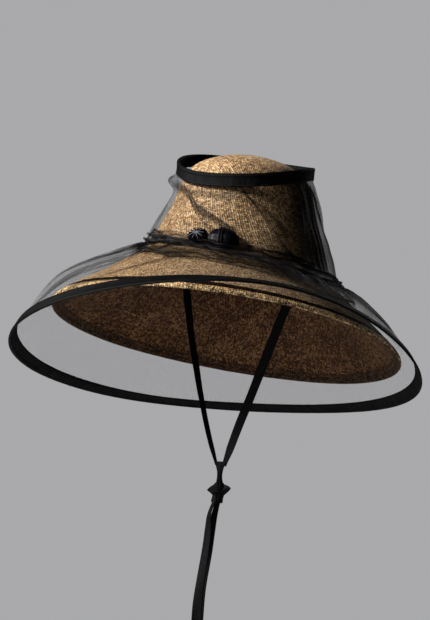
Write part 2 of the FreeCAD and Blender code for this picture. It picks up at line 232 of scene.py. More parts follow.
def noise2(seed, U, V, ku, kv, terms=26):
    """smooth noise over a sheet, closed in u (0..1)"""
    rng = np.random.default_rng(seed)
    out = np.zeros(np.broadcast(U, V).shape)
    for _ in range(terms):
        a = rng.normal() / math.sqrt(terms)
        fu, fv, ph = rng.integers(1, ku + 1), rng.uniform(-kv, kv), rng.uniform(0, TAU)
        out = out + 1.4 * a * np.cos(TAU * (fu * U + fv * V) + ph)
    return out


def mesh_from_grid(name, P, UV=None, close_u=True, close_v=False, cap=False):
    """P: (nu, nv, 3) points in mm. Closed round u, and round v when the section is closed."""
    nu, nv = P.shape[:2]
    mesh = bpy.data.meshes.new(name)
    verts = (P.reshape(-1, 3) * MM).tolist()
    iu = np.arange(nu if close_u else nu - 1)
    iv = np.arange(nv if close_v else nv - 1)
    I, J = np.meshgrid(iu, iv, indexing="ij")
    I2, J2 = (I + 1) % nu, (J + 1) % nv
    f = np.stack([I * nv + J, I2 * nv + J, I2 * nv + J2, I * nv + J2], -1).reshape(-1, 4)
    faces = f.tolist()
    if cap and not close_u:
        faces.append([j for j in range(nv)][::-1] if close_v else list(range(nv))[::-1])
        faces.append([(nu - 1) * nv + j for j in range(nv)])
    mesh.from_pydata(verts, [], faces)
    if UV is not None:
        layer = mesh.uv_layers.new(name="UVMap")
        a = UV[I, J]
        b = UV[I + 1, J]
        c = UV[I + 1, J + 1]
        d = UV[I, J + 1]
        luv = np.stack([a, b, c, d], 2).reshape(-1, 2)
        if cap and not close_u:
            luv = np.concatenate([luv, np.zeros((2 * nv, 2))])
        layer.data.foreach_set("uv", luv.astype(np.float32).ravel())
    for p in mesh.polygons:
        p.use_smooth = True
    mesh.update()
    obj = bpy.data.objects.new(name, mesh)
    bpy.context.scene.collection.objects.link(obj)
    return obj


def join(name, objs):
    """one object from several meshes, materials kept in order"""
    bpy.ops.object.select_all(action="DESELECT")
    for o in objs:
        o.select_set(True)
    bpy.context.view_layer.objects.active = objs[0]
    bpy.ops.object.join()
    objs[0].name = name
    return objs[0]


def finish_piece(obj, body, slot, material, *nodes):
    obj.data.materials.clear()
    obj.data.materials.append(material)
    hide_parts(*nodes)
    if body:
        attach(obj, body)
    return obj


# ------------------------------------------------------------------ materials
class Mat:
    def __init__(self, name, color, rough, **consts):
        self.m = bpy.data.materials.new(name)
        self.m.use_nodes = True
        self.nt = self.m.node_tree
        self.nt.nodes.clear()
        out = self.nt.nodes.new("ShaderNodeOutputMaterial")
        self.p = self.nt.nodes.new("ShaderNodeBsdfPrincipled")
        self.nt.links.new(self.p.outputs[0], out.inputs[0])
        self.p.inputs["Base Color"].default_value = (*color, 1)
        self.p.inputs["Roughness"].default_value = rough
        for k, v in consts.items():
            k = k.replace("_", " ")
            self.p.inputs[k].default_value = v

    def node(self, kind, **kw):
        n = self.nt.nodes.new("ShaderNode" + kind)
        for k, v in kw.items():
            setattr(n, k, v)
        return n

    def put(self, sock, v):
        if isinstance(v, bpy.types.NodeSocket):
            self.nt.links.new(v, sock)
        else:
            sock.default_value = v

    def math(self, op, a, b=0.0, c=0.0, clamp=False):
        n = self.node("Math", operation=op, use_clamp=clamp)
        for s, v in zip(n.inputs, (a, b, c)):
            self.put(s, v)
        return n.outputs[0]

    def uv(self):
        n = self.node("UVMap")
        s = self.node("SeparateXYZ")
        self.nt.links.new(n.outputs[0], s.inputs[0])
        return n.outputs[0], s.outputs[0], s.outputs[1]

    def pos(self):
        return self.node("TexCoord").outputs["Object"]

    def noise(self, vec, scale, detail=2.0, rough=0.5, dist=0.0):
        n = self.node("TexNoise")
        self.put(n.inputs["Vector"], vec)
        n.inputs["Scale"].default_value = scale
        n.inputs["Detail"].default_value = detail
        n.inputs["Roughness"].default_value = rough
        n.inputs["Distortion"].default_value = dist
        return n.outputs[0]

    def scaled(self, vec, sx, sy, sz=1.0, rz=0.0):
        n = self.node("Mapping")
        self.put(n.inputs["Vector"], vec)
        n.inputs["Scale"].default_value = (sx, sy, sz)
        n.inputs["Rotation"].default_value = (0, 0, rz)
        return n.outputs[0]

    def remap(self, v, a, b, c=0.0, d=1.0, smooth=False):
        n = self.node("MapRange", interpolation_type="SMOOTHSTEP" if smooth else "LINEAR", clamp=True)
        self.put(n.inputs["Value"], v)
        for k, x in zip(("From Min", "From Max", "To Min", "To Max"), (a, b, c, d)):
            self.put(n.inputs[k], x)
        return n.outputs[0]

    def ramp(self, v, stops):
        n = self.node("ValToRGB")
        self.put(n.inputs[0], v)
        e = n.color_ramp.elements
        while len(e) < len(stops):
            e.new(0.5)
        for i, (x, c) in enumerate(stops):
            e[i].position = x
            e[i].color = (*c, 1)
        return n.outputs[0]

    def mix(self, f, a, b, kind="MIX"):
        n = self.node("Mix", data_type="RGBA", blend_type=kind)
        self.put(n.inputs[0], f)
        self.put(n.inputs[6], a if isinstance(a, bpy.types.NodeSocket) else (*a, 1))
        self.put(n.inputs[7], b if isinstance(b, bpy.types.NodeSocket) else (*b, 1))
        return n.outputs[2]

    def white(self, v, dims="1D"):
        n = self.node("TexWhiteNoise", noise_dimensions=dims)
        self.put(n.inputs["W"] if dims == "1D" else n.inputs["Vector"], v)
        return n.outputs[0]

    def bump(self, h, dist, strength=1.0):
        n = self.node("Bump")
        self.put(n.inputs["Height"], h)
        n.inputs["Distance"].default_value = dist
        n.inputs["Strength"].default_value = strength
        self.nt.links.new(n.outputs[0], self.p.inputs["Normal"])

    def color(self, v):
        self.put(self.p.inputs["Base Color"], v)

    def rough(self, v):
        self.put(self.p.inputs["Roughness"], v)

    def alpha(self, v):
        self.put(self.p.inputs["Alpha"], v)


def straw_material(name, dark, mid, light, pitch=0.0023, holes=0.0, bump=0.0007, gap_shade=0.06, turn=0.0, stray=1.0):
    """plain weave of natural straw: flat strands over and under, slubs, uneven strand colour, gaps at the crossings;
    painted shade darkens the gaps, the strand edges and the strands where they dip under
    """
    m = Mat(name, mid, 0.62, Sheen_Weight=0.08, Sheen_Roughness=0.5, Specular_IOR_Level=0.35)
    vec, u, v = m.uv()
    if turn:
        rot = m.node("SeparateXYZ")
        vec = m.scaled(vec, 1, 1, 1, turn)
        m.nt.links.new(vec, rot.inputs[0])
        u, v = rot.outputs[0], rot.outputs[1]
    wob = m.node("TexNoise")
    m.put(wob.inputs["Vector"], m.pos())
    wob.inputs["Scale"].default_value = 90.0
    wob.inputs["Detail"].default_value = 3.0
    wob.inputs["Roughness"].default_value = 0.65
    wc = m.node("SeparateXYZ")
    m.nt.links.new(wob.outputs["Color"], wc.inputs[0])
    uu = m.math("ADD", m.math("DIVIDE", u, pitch), m.math("MULTIPLY", m.math("SUBTRACT", wc.outputs[0], 0.5), 3.4 * stray))
    vv = m.math("ADD", m.math("DIVIDE", v, pitch), m.math("MULTIPLY", m.math("SUBTRACT", wc.outputs[1], 0.5), 3.4 * stray))
    iu, iv = m.math("FLOOR", uu), m.math("FLOOR", vv)
    a, b = m.math("SUBTRACT", m.math("FRACT", uu), 0.5), m.math("SUBTRACT", m.math("FRACT", vv), 0.5)
    par = m.math("MULTIPLY", m.math("PINGPONG", m.math("ADD", iu, iv), 1.0), 2.0)
    sign = m.math("SUBTRACT", par, 1.0)
    ca = m.math("COSINE", m.math("MULTIPLY", a, math.pi))
    cb = m.math("COSINE", m.math("MULTIPLY", b, math.pi))
    wu, wv = m.white(iv), m.white(m.math("ADD", iu, 137.3))
    # strand width differs from strand to strand
    half_u = m.remap(wu, 0, 1, 0.36, 0.50)
    half_v = m.remap(wv, 0, 1, 0.36, 0.50)
    cell = m.white(m.math("ADD", m.math("MULTIPLY", iu, 57.31), m.math("MULTIPLY", iv, 131.7)))

    def profile(x, half):
        q = m.math("DIVIDE", x, half)
        return m.math("SQRT", m.math("MAXIMUM", m.math("SUBTRACT", 1.0, m.math("MULTIPLY", q, q)), 0.0))
    pu, pv = profile(b, half_u), profile(a, half_v)
    over = m.math("MULTIPLY", sign, m.math("MULTIPLY", ca, cb))
    hu = m.math("MULTIPLY", pu, m.math("MULTIPLY_ADD", over, 0.42, 0.58))
    hv = m.math("MULTIPLY", pv, m.math("MULTIPLY_ADD", over, -0.42, 0.58))
    h = m.math("MAXIMUM", hu, hv)
    top_is_u = m.math("GREATER_THAN", hu, hv)
    # long streaks along each strand
    su = m.noise(m.scaled(vec, 130, 2600), 1.0, 3.0)
    sv = m.noise(m.scaled(vec, 2600, 130), 1.0, 3.0)
    tone_u = m.math("MULTIPLY_ADD", wu, 0.20, m.math("MULTIPLY", su, 0.40))
    tone_v = m.math("MULTIPLY_ADD", wv, 0.20, m.math("MULTIPLY", sv, 0.40))
    tone = m.math("ADD", m.math("MULTIPLY", top_is_u, tone_u), m.math("MULTIPLY", m.math("SUBTRACT", 1.0, top_is_u), tone_v))
    patch = m.noise(m.pos(), 16.0, 3.0)
    tone = m.math("ADD", m.math("MULTIPLY_ADD", cell, 0.40, tone), m.math("MULTIPLY", m.math("SUBTRACT", patch, 0.5), 0.45))
    col = m.ramp(m.remap(tone, 0.15, 0.85), [(0.0, dark), (0.45, mid), (1.0, light)])
    # painted shade: the colour is darkened where the weave lies low, in the gaps, at strand edges and where a strand
    # dips under another
    depth = m.remap(m.math("ADD", h, m.math("MULTIPLY", m.math("SUBTRACT", cell, 0.5), 0.42)), 0.36, 0.86, gap_shade, 1.0, smooth=True)
    g = m.node("CombineXYZ")
    for i in range(3):
        m.put(g.inputs[i], depth)
    m.color(m.mix(1.0, col, g.outputs[0], "MULTIPLY"))
    m.rough(m.remap(tone, 0.2, 0.8, 0.72, 0.5))
    m.bump(m.math("ADD", h, m.math("MULTIPLY", tone, 0.15)), bump, 1.0)
    if holes > 0:
        gap = m.math("MAXIMUM", pu, pv)
        open_ = m.remap(m.noise(vec, 38.0, 2.0), 0.45, 0.62, 0.0, holes)
        m.alpha(m.math("SUBTRACT", 1.0, m.math("LESS_THAN", gap, open_), clamp=True))
    return m.m


def tulle_material(name, period=0.0012, thread=0.000052, tint=(0.0030, 0.0023, 0.0021), extra=0.0, sheen=0.0, layers=False):
    """fine net: two sets of threads make the mesh; gaps let what is behind show"""
    m = Mat(name, tint, 0.55, Sheen_Weight=sheen, Sheen_Roughness=0.35, Specular_IOR_Level=0.10)
    vec, u, v = m.uv()
    wob = m.node("TexNoise")
    m.put(wob.inputs["Vector"], vec)
    wob.inputs["Scale"].default_value = 60.0
    wc = m.node("SeparateXYZ")
    m.nt.links.new(wob.outputs["Color"], wc.inputs[0])
    u2 = m.math("MULTIPLY_ADD", wc.outputs[0], 0.0012, u)
    v2 = m.math("MULTIPLY_ADD", wc.outputs[1], 0.0012, v)
    lines = []
    for ang in (30, 150):
        c, s = math.cos(math.radians(ang)), math.sin(math.radians(ang))
        q = m.math("ADD", m.math("MULTIPLY", u2, c), m.math("MULTIPLY", v2, s))
        tri = m.math("PINGPONG", q, period / 2)
        lines.append(m.math("SUBTRACT", 1.0, m.remap(tri, thread * 0.8, thread * 1.25)))
    cover = m.math("MAXIMUM", lines[0], lines[1])
    tone = m.noise(vec, 300.0, 2.0)
    m.color(m.ramp(tone, [(0.3, tuple(x * 0.5 for x in tint)), (0.7, tuple(x * 1.8 for x in tint))]))
    if layers:
        # where the sheet is gathered it lies in more layers than one, and lets less through; round the shaded side the
        # near black net is also made denser as painted shade
        g = m.node("Attribute", attribute_name="gathered")
        g = g.outputs["Fac"]
        n2 = m.noise(m.scaled(vec, 90, 22), 1.0, 3.0)
        cover = m.math("MAXIMUM", cover, m.math("MULTIPLY", g, m.remap(n2, 0.35, 0.65, 0.82, 1.0)))
    m.alpha(cover)
    m.bump(cover, 0.0001, 0.4)
    m.rough(m.remap(tone, 0.3, 0.7, 0.45, 0.65))
    return m.m


def satin_material(name, color=(0.0010, 0.0010, 0.0014), pitch=0.00045, rough=0.55, across=True, coat=0.0, spec=0.07, lift=1.0):
    """black satin: fine ribs across the ribbon, soft puckers, slightly bluish gloss"""
    m = Mat(name, color, rough, Sheen_Weight=0.0, Sheen_Roughness=0.4, Coat_Weight=coat, Coat_Roughness=0.22, Specular_IOR_Level=spec)
    vec, u, v = m.uv()
    q = u if across else v
    rib = m.math("MULTIPLY_ADD", m.math("SINE", m.math("MULTIPLY", q, TAU / pitch)), 0.5, 0.5)
    puck = m.noise(m.scaled(vec, 160, 60) if across else m.scaled(vec, 60, 160), 1.0, 3.0)
    fine = m.noise(vec, 1800.0, 2.0)
    tone = m.math("ADD", m.math("MULTIPLY", rib, 0.35), m.math("MULTIPLY", puck, 0.65))
    dark, light = tuple(x * 0.55 for x in color), tuple(x * 2.1 * lift for x in color)
    m.color(m.ramp(tone, [(0.25, dark), (0.75, light)]))
    m.rough(m.math("ADD", m.remap(puck, 0.3, 0.7, rough - 0.08, rough + 0.12), m.math("MULTIPLY", fine, 0.08)))
    h = m.math("ADD", m.math("MULTIPLY", rib, 0.25), m.math("MULTIPLY_ADD", puck, 2.2, m.math("MULTIPLY", fine, 0.3)))
    m.bump(h, 0.0004, 0.55)
    return m.m


def wire_material(name):
    m = Mat(name, (0.18, 0.18, 0.19), 0.38, Metallic=0.9)
    p = m.pos()
    n = m.noise(p, 700.0, 3.0)
    m.color(m.ramp(n, [(0.3, (0.09, 0.09, 0.1)), (0.7, (0.30, 0.30, 0.31))]))
    m.rough(m.remap(n, 0.3, 0.7, 0.28, 0.5))
    m.bump(n, 0.0001, 0.5)
    return m.m


def ribbed_material(name, color, pitch, rough=0.75):
    """grosgrain or elastic: raised ribs across the tape"""
    m = Mat(name, color, rough, Sheen_Weight=0.15, Sheen_Roughness=0.5)
    vec, u, v = m.uv()
    rib = m.math("MULTIPLY_ADD", m.math("SINE", m.math("MULTIPLY", u, TAU / pitch)), 0.5, 0.5)
    weft = m.math("MULTIPLY_ADD", m.math("SINE", m.math("MULTIPLY", v, TAU / (pitch * 0.4))), 0.5, 0.5)
    n = m.noise(vec, 55.0, 3.0)
    tone = m.math("ADD", m.math("MULTIPLY", rib, 0.5), m.math("ADD", m.math("MULTIPLY", weft, 0.15), m.math("MULTIPLY", n, 0.45)))
    m.color(m.ramp(tone, [(0.2, tuple(x * 0.45 for x in color)), (0.9, tuple(x * 1.7 for x in color))]))
    m.rough(m.remap(n, 0.3, 0.7, rough - 0.1, rough + 0.1))
    m.bump(m.math("ADD", rib, m.math("MULTIPLY", weft, 0.2)), 0.0004, 0.8)
    return m.m


STRAW_DARK, STRAW_MID, STRAW_LIGHT = (0.25, 0.118, 0.041), (0.55, 0.32, 0.134), (0.88, 0.61, 0.32)
mat_crown = straw_material("woven_straw_crown", STRAW_DARK, STRAW_MID, STRAW_LIGHT, pitch=0.0024, turn=0.30, stray=0.55, gap_shade=0.20)
mat_brim = straw_material("woven_straw_brim", STRAW_DARK, STRAW_MID, STRAW_LIGHT, pitch=0.0023, holes=0.30, stray=0.7)
# painted shade: the inner faces are the same straw as the outer, given much darker colours for the shade under the
# brim and inside the crown
mat_under_painted_shade = straw_material("woven_straw_underside_painted_shade", (0.034, 0.012, 0.003), (0.082, 0.031, 0.009), (0.31, 0.165, 0.070), pitch=0.0026, holes=0.42, gap_shade=0.22, stray=0.45)
# the folded edge is the same straw as the brim: its outer face is painted brighter as painted light, its inside near
# black as painted shade
mat_hem_painted_light = straw_material("folded_straw_hem_painted_light", (0.34, 0.17, 0.06), (0.70, 0.43, 0.17), (1.0, 0.74, 0.38), pitch=0.0026)
mat_hem_under_painted_shade = straw_material("folded_straw_hem_inside_painted_shade", (0.022, 0.010, 0.004), (0.055, 0.025, 0.010), (0.13, 0.065, 0.03), pitch=0.0022)
# painted shade: near black straw on the step above the folded edge stands for the shadow line there
mat_groove_painted_shade = straw_material("groove_painted_shade", (0.004, 0.0015, 0.0006), (0.012, 0.0045, 0.0018), (0.035, 0.014, 0.006), pitch=0.0014)
for _m, _spec in ((mat_groove_painted_shade, 0.05), (mat_under_painted_shade, 0.10), (mat_hem_under_painted_shade, 0.10)):
    for _b in _m.node_tree.nodes:
        if _b.type == "BSDF_PRINCIPLED":
            _b.inputs["Specular IOR Level"].default_value = _spec
            _b.inputs["Sheen Weight"].default_value = 0.0
mat_net = tulle_material("black_tulle", layers=True)
mat_net_dense = tulle_material("gathered_black_tulle", period=0.0012, thread=0.000085, layers=True)
mat_satin = satin_material("black_satin_tape")
mat_ribbon = satin_material("black_satin_ribbon", rough=0.55, spec=0.08)
mat_knot = satin_material("glossy_satin_knot", color=(0.0012, 0.0012, 0.0032), rough=0.32, coat=0.03, spec=0.06)
mat_wire = wire_material("spring_wire")
mat_sweat = ribbed_material("grosgrain_sweatband", (0.030, 0.022, 0.016), 0.0016)
mat_elastic = ribbed_material("black_elastic", (0.012, 0.012, 0.014), 0.0010)
mat_thread = Mat("pale_thread", (0.30, 0.33, 0.38), 0.6, Sheen_Weight=0.1)
_n = mat_thread.noise(mat_thread.scaled(mat_thread.pos(), 3000, 3000, 3000), 1.0, 2.0)
mat_thread.color(mat_thread.ramp(_n, [(0.3, (0.16, 0.18, 0.22)), (0.7, (0.38, 0.42, 0.48))]))
mat_thread.bump(_n, 0.0001, 0.6)
mat_thread = mat_thread.m
mat_black_thread = Mat("black_thread", (0.012, 0.012, 0.014), 0.6, Sheen_Weight=0.2)
_n = mat_black_thread.noise(mat_black_thread.pos(), 2500, 2.0)
mat_black_thread.color(mat_black_thread.ramp(_n, [(0.3, (0.006, 0.006, 0.007)), (0.7, (0.03, 0.03, 0.034))]))
mat_black_thread.bump(_n, 0.0001, 0.6)
mat_black_thread = mat_black_thread.m
mat_straw_thread = Mat("straw_thread", (0.42, 0.27, 0.11), 0.7, Sheen_Weight=0.1)
_n = mat_straw_thread.noise(mat_straw_thread.pos(), 2200, 2.0)
mat_straw_thread.color(mat_straw_thread.ramp(_n, [(0.3, (0.20, 0.11, 0.04)), (0.7, (0.58, 0.40, 0.18))]))
mat_straw_thread.bump(_n, 0.0001, 0.6)
mat_straw_thread = mat_straw_thread.m

# ------------------------------------------------------------------ chin tie: ribbons and tails, the free cords
RIBBON_LEFT = [(0.0965, 0.0075, -0.0065), (0.082, 0.0015, -0.050), (0.0645, 0.0015, -0.099),
               (0.044, 0.004, -0.148), (0.0225, 0.0065, -0.196), (0.0072, 0.009, -0.236)]
RIBBON_RIGHT = [(-0.0965, 0.0075, -0.0065), (-0.0865, 0.009, -0.050), (-0.0705, 0.0115, -0.099),
                (-0.0505, 0.0115, -0.148), (-0.027, 0.0085, -0.197), (-0.0072, 0.011, -0.236)]
TAIL_LEFT = [(0.0046, 0.0051, -0.275), (0.0016, -0.0006, -0.291), (0.0019, 0.0006, -0.311), (0.0027, -0.0004, -0.337),
             (0.0031, -0.0023, -0.366), (0.0026, -0.0028, -0.395), (0.0036, -0.0016, -0.421), (0.0032, 0.0006, -0.443)]
TAIL_RIGHT = [(-0.0046, 0.0187, -0.275), (-0.0084, 0.0192, -0.291), (-0.0094, 0.0172, -0.311), (-0.0088, 0.0156, -0.336),
              (-0.0094, 0.014, -0.362), (-0.009, 0.0128, -0.388), (-0.0082, 0.0134, -0.411), (-0.0086, 0.0152, -0.430)]


def route(points):
    """the route's own NURBS line, read back as closely spaced points, in metres"""
    cu = bpy.data.curves.new("route", "CURVE")
    cu.dimensions = "3D"
    cu.resolution_u = 24
    sp = cu.splines.new("NURBS")
    sp.points.add(len(points) - 1)
    for q, p in zip(sp.points, points):
        q.co = (*p, 1.0)
    sp.order_u = 3
    sp.use_endpoint_u = True
    sp.resolution_u = 24
    ob = bpy.data.objects.new("route", cu)
    bpy.context.scene.collection.objects.link(ob)
    bpy.context.view_layer.update()
    me = bpy.data.meshes.new_from_object(ob)
    pts = np.array([v.co for v in me.vertices], float)
    bpy.data.objects.remove(ob)
    bpy.data.meshes.remove(me)
    bpy.data.curves.remove(cu)
    return pts


def unit(a):
    return a / np.maximum(np.linalg.norm(a, axis=-1, keepdims=True), 1e-12)


def rotate(v, axis, ang):
    """v turned about unit axis by ang, all per point"""
    c, s = np.cos(ang)[:, None], np.sin(ang)[:, None]
    return v * c + np.cross(axis, v) * s + axis * (np.sum(axis * v, -1, keepdims=True)) * (1 - c)


def ribbon(name, line, first, last, width=11.0, thick=0.55, curl=0.0, seed=1, grow=None, end_cut=0.0):
    """flat ribbon along line (metres); first and last are its width directions at the ends"""
    T = unit(np.gradient(line, axis=0))
    n = len(line)
    arc = np.concatenate([[0], np.cumsum(np.linalg.norm(np.diff(line, axis=0), axis=1))])
    x = arc / arc[-1]
    a = unit(np.asarray(first, float) - T * np.sum(T * np.asarray(first, float), -1, keepdims=True))
    b = unit(np.asarray(last, float) - T * np.sum(T * np.asarray(last, float), -1, keepdims=True))
    ang = np.arctan2(np.sum(np.cross(a, b) * T, -1), np.sum(a * b, -1))
    W = rotate(a, T, ang * smooth(x))
    Nn = unit(np.cross(T, W))
    rng = np.random.default_rng(seed)
    ph = rng.uniform(0, TAU, 3)
    wid = width * (1 + 0.03 * np.sin(arc * 70 + ph[0])) * (grow(x) if grow else 1.0)
    cup = curl * np.sin(arc * 36 + ph[1]) + 0.25 * np.sin(arc * 95 + ph[2])
    m = 14
    prof = []
    q = np.linspace(-1, 1, m)
    edge = thick * 0.5
    for k in range(m):
        prof.append((q[k], edge * (1.0 if 0 < k < m - 1 else 0.45)))
    for k in range(m - 1, -1, -1):
        prof.append((q[k], -edge * (1.0 if 0 < k < m - 1 else 0.45)))
    prof = np.array(prof)
    bead = 0.35 * np.exp(-((np.abs(prof[:, 0]) - 0.93) / 0.06) ** 2)
    P = np.zeros((n, len(prof), 3))
    for k, (w, h) in enumerate(prof):
        h2 = h + np.sign(h) * bead[k]
        shift = -w * end_cut * smooth((x - 0.94) / 0.06) * 0
        P[:, k] = (line / MM) + W * (w * wid / 2)[:, None] + Nn * (h2 + cup * (w * w - 0.35))[:, None] + T * (shift if isinstance(shift, float) else shift[:, None])
    UV = np.zeros((n, len(prof) + 1, 2))
    per = np.concatenate([prof[:, 0], prof[:1, 0]])
    UV[..., 0] = arc[:, None]
    UV[..., 1] = per[None, :] * width / 2 * MM
    return mesh_from_grid(name, P, UV, close_u=False, close_v=True, cap=True)


NB = np.array(back)
line_l, line_r = route(RIBBON_LEFT), route(RIBBON_RIGHT)
line_tl, line_tr = route(TAIL_LEFT), route(TAIL_RIGHT)


def facing(line, turn):
    """width direction square to a front-left line of sight at the middle of line, turned by some degrees"""
    T = unit(line[len(line) // 2 + 3] - line[len(line) // 2 - 3])
    W = unit(np.cross(T, NB))
    return rotate(W[None], T[None], np.array([math.radians(turn)]))[0]


rib_l = ribbon("chin_ribbon_left", line_l, facing(line_l, -4), facing(line_l, 38), curl=0.4, seed=3,
               grow=lambda x: 1 - 0.38 * smooth((x - 0.9) / 0.1))
rib_r = ribbon("chin_ribbon_right", line_r, facing(line_r, -40), facing(line_r, -62), curl=0.4, seed=4,
               grow=lambda x: 1 - 0.38 * smooth((x - 0.9) / 0.1))
tail_l = ribbon("chin_tail_left", line_tl, facing(line_tl, 58), facing(line_tl, 8), curl=0.9, seed=5,
                grow=lambda x: 0.58 + 0.42 * smooth((x - 0.06) / 0.20))
tail_r = ribbon("chin_tail_right", line_tr, facing(line_tr, -34), facing(line_tr, 25), curl=0.8, seed=6,
                grow=lambda x: 0.73 + 0.27 * smooth((x - 0.05) / 0.20))
for o, node in ((rib_l, "tie_ribbon_left"), (rib_r, "tie_ribbon_right"), (tail_l, "tie_tail_left"), (tail_r, "tie_tail_right")):
    finish_piece(o, "chin_tie", "ribbon", mat_ribbon, node)


def lump(name, stations, nth=48, groove=0.0, lobes=7, twist=0.0, seed=0, power=1.0, uvs=1.0):
    """gathered cloth loft. stations: (centre, half width vector, half depth vector) in mm"""
    rng = np.random.default_rng(seed)
    st = [np.array([*c, *a, *b], float) for c, a, b in stations]
    x = np.linspace(0, 1, len(st))
    f = cubic(x, np.array(st))
    n = 12 * (len(st) - 1) + 1
    q = np.linspace(0, 1, n)
    S = f(q)
    th = np.arange(nth) / nth * TAU
    ph = rng.uniform(0, TAU, 3)
    P = np.zeros((n, nth, 3))
    for i in range(n):
        g = 1 + groove * (0.6 * np.cos(lobes * th + twist * q[i] + ph[0]) + 0.4 * np.cos((lobes + 4) * th - 1.3 * twist * q[i] + ph[1]))
        cx, sx = np.sign(np.cos(th)) * np.abs(np.cos(th)) ** power, np.sign(np.sin(th)) * np.abs(np.sin(th)) ** power
        P[i] = S[i, :3] + (cx * g)[:, None] * S[i, 3:6] + (sx * g)[:, None] * S[i, 6:9]
    UV = np.zeros((n, nth + 1, 2))
    UV[..., 0] = (q * np.linalg.norm(np.array(st[-1][:3]) - st[0][:3]) * MM)[:, None] * uvs
    UV[..., 1] = (np.arange(nth + 1) / nth * 30 * MM)[None, :]
    return mesh_from_grid(name, P, UV, close_u=False, close_v=True, cap=True)


def band_around(name, c, a, b, axis, width, thick, nth=64, lobes=3, groove=0.12, seed=0):
    """a flat band wrapped round an oval (half axes a, b), its width along axis, in mm"""
    th = np.arange(nth) / nth * TAU
    c, a, b, axis = (np.array(v, float) for v in (c, a, b, axis))
    m = 18
    w = np.linspace(-1, 1, m)
    prof = [(x, thick * (1 - x ** 4) ** 0.5 * (1 + groove * math.cos(lobes * math.pi * x + seed))) for x in w] + [(x, -0.3) for x in w[::-1]]
    ring = (np.cos(th)[:, None] * a + np.sin(th)[:, None] * b)
    out = unit(np.cos(th)[:, None] * a / (a @ a) + np.sin(th)[:, None] * b / (b @ b))
    P = np.stack([c + ring + axis * (x * width / 2) + out * h for x, h in prof], 1)
    UV = np.zeros((nth + 1, len(prof) + 1, 2))
    UV[..., 0] = (np.arange(nth + 1) / nth * TAU * np.linalg.norm(a) * MM)[:, None]
    xs = [p[0] for p in prof] + [prof[0][0]]
    UV[..., 1] = (np.array(xs) * width / 2 * MM)[None, :]
    return mesh_from_grid(name, P, UV, close_u=True, close_v=True)


# the knot: two ribbons meet, run down as a narrow gathered stem, and are wrapped
stem = lump("stem", [
    ((0, 10, -231.5), (10.8, -1.0, 0), (0, 2.6, 0)), ((0, 10.2, -236.5), (7.6, -1.0, 0), (0, 3.0, 0)),
    ((-0.2, 10.8, -243), (4.4, -0.8, 0), (0, 3.2, 0)), ((-0.2, 11.4, -250), (3.5, -0.6, 0), (0, 3.3, 0)),
    ((0, 12, -256), (4.2, 0, 0), (0, 3.6, 0)), ((0, 12.3, -262), (5.0, 0, 0), (0, 4.2, 0))],
    groove=0.13, lobes=5, twist=2.2, seed=11)
knot_body = lump("knot_body", [
    ((0, 12.4, -255.5), (2.6, 0, 0), (0, 2.6, 0)), ((0, 12.3, -257.5), (5.6, 0, 0.5), (0, 5.2, 0)),
    ((0, 12.3, -262), (7.3, 0, 0.8), (0, 6.8, 0)), ((0, 12.4, -267), (7.4, 0, 0.4), (0, 7.0, 0)),
    ((0, 12.4, -272), (6.2, 0, 0), (0, 6.2, 0)), ((-0.3, 12.2, -276), (5.6, 0.5, 0), (-0.6, 7.2, 0)),
    ((-0.4, 12.0, -279.5), (4.6, 1.2, 0), (-1.4, 8.2, 0))], groove=0.10, lobes=6, twist=1.2, seed=12)
wrap = band_around("wrap", (0, 12.3, -264.8), (8.6, 0, 1.0), (0, 8.2, -0.6), (0.08, 0, 0.99), 9.0, 1.0, groove=0.3, lobes=4, seed=1)
knot = join("chin_knot", [stem, knot_body, wrap])
finish_piece(knot, "chin_tie", "ribbon", mat_ribbon, "tie_knot")


def leaf(name, sign):
    """short pointed loop of folded ribbon beside the knot"""
    n, m = 30, 28
    x = np.linspace(0, 1, n)
    P = np.zeros((n, m, 3))
    th = np.arange(m) / m * TAU
    for i, q in enumerate(x):
        cx, cz = sign * (5.0 + 13.8 * q), -265.5 + (1.8 + 2.1 * sign) * q + (0.6 * math.sin(q * 3.0))
        hz = 6.4 * (1 - q ** 1.35) ** 0.80 * (0.72 + 0.28 * smooth(q * 4)) + 0.25
        hy = 3.6 * (1 - q ** 2.2) ** 0.6 * (1 - 0.15 * q) + 0.3
        fold = 1 + 0.16 * np.cos(4 * th + 2.2 * q) * (1 - q)
        P[i, :, 0] = cx
        P[i, :, 1] = 12.5 + hy * np.sin(th) * fold + 0.5 * math.sin(3 * q)
        P[i, :, 2] = cz + hz * np.cos(th) * fold
    UV = np.zeros((n, m + 1, 2))
    UV[..., 0] = (x * 0.014)[:, None]
    UV[..., 1] = (np.arange(m + 1) / m * 0.024)[None]
    return mesh_from_grid(name, P, UV, close_u=False, close_v=True, cap=True)


for sign, name, node in ((1, "chin_loop_left", "tie_loop_left"), (-1, "chin_loop_right", "tie_loop_right")):
    finish_piece(leaf(name, sign), "chin_tie", "ribbon", mat_ribbon, node)

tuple(RIBBON_LEFT[0])
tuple(RIBBON_RIGHT[0])
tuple(TAIL_LEFT[0])
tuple(TAIL_RIGHT[0])

# ------------------------------------------------------------------ straw hat
S_JOIN, S_STRAW = 10.0, s_at_r(STRAW_EDGE_R)
WALL = 1.6


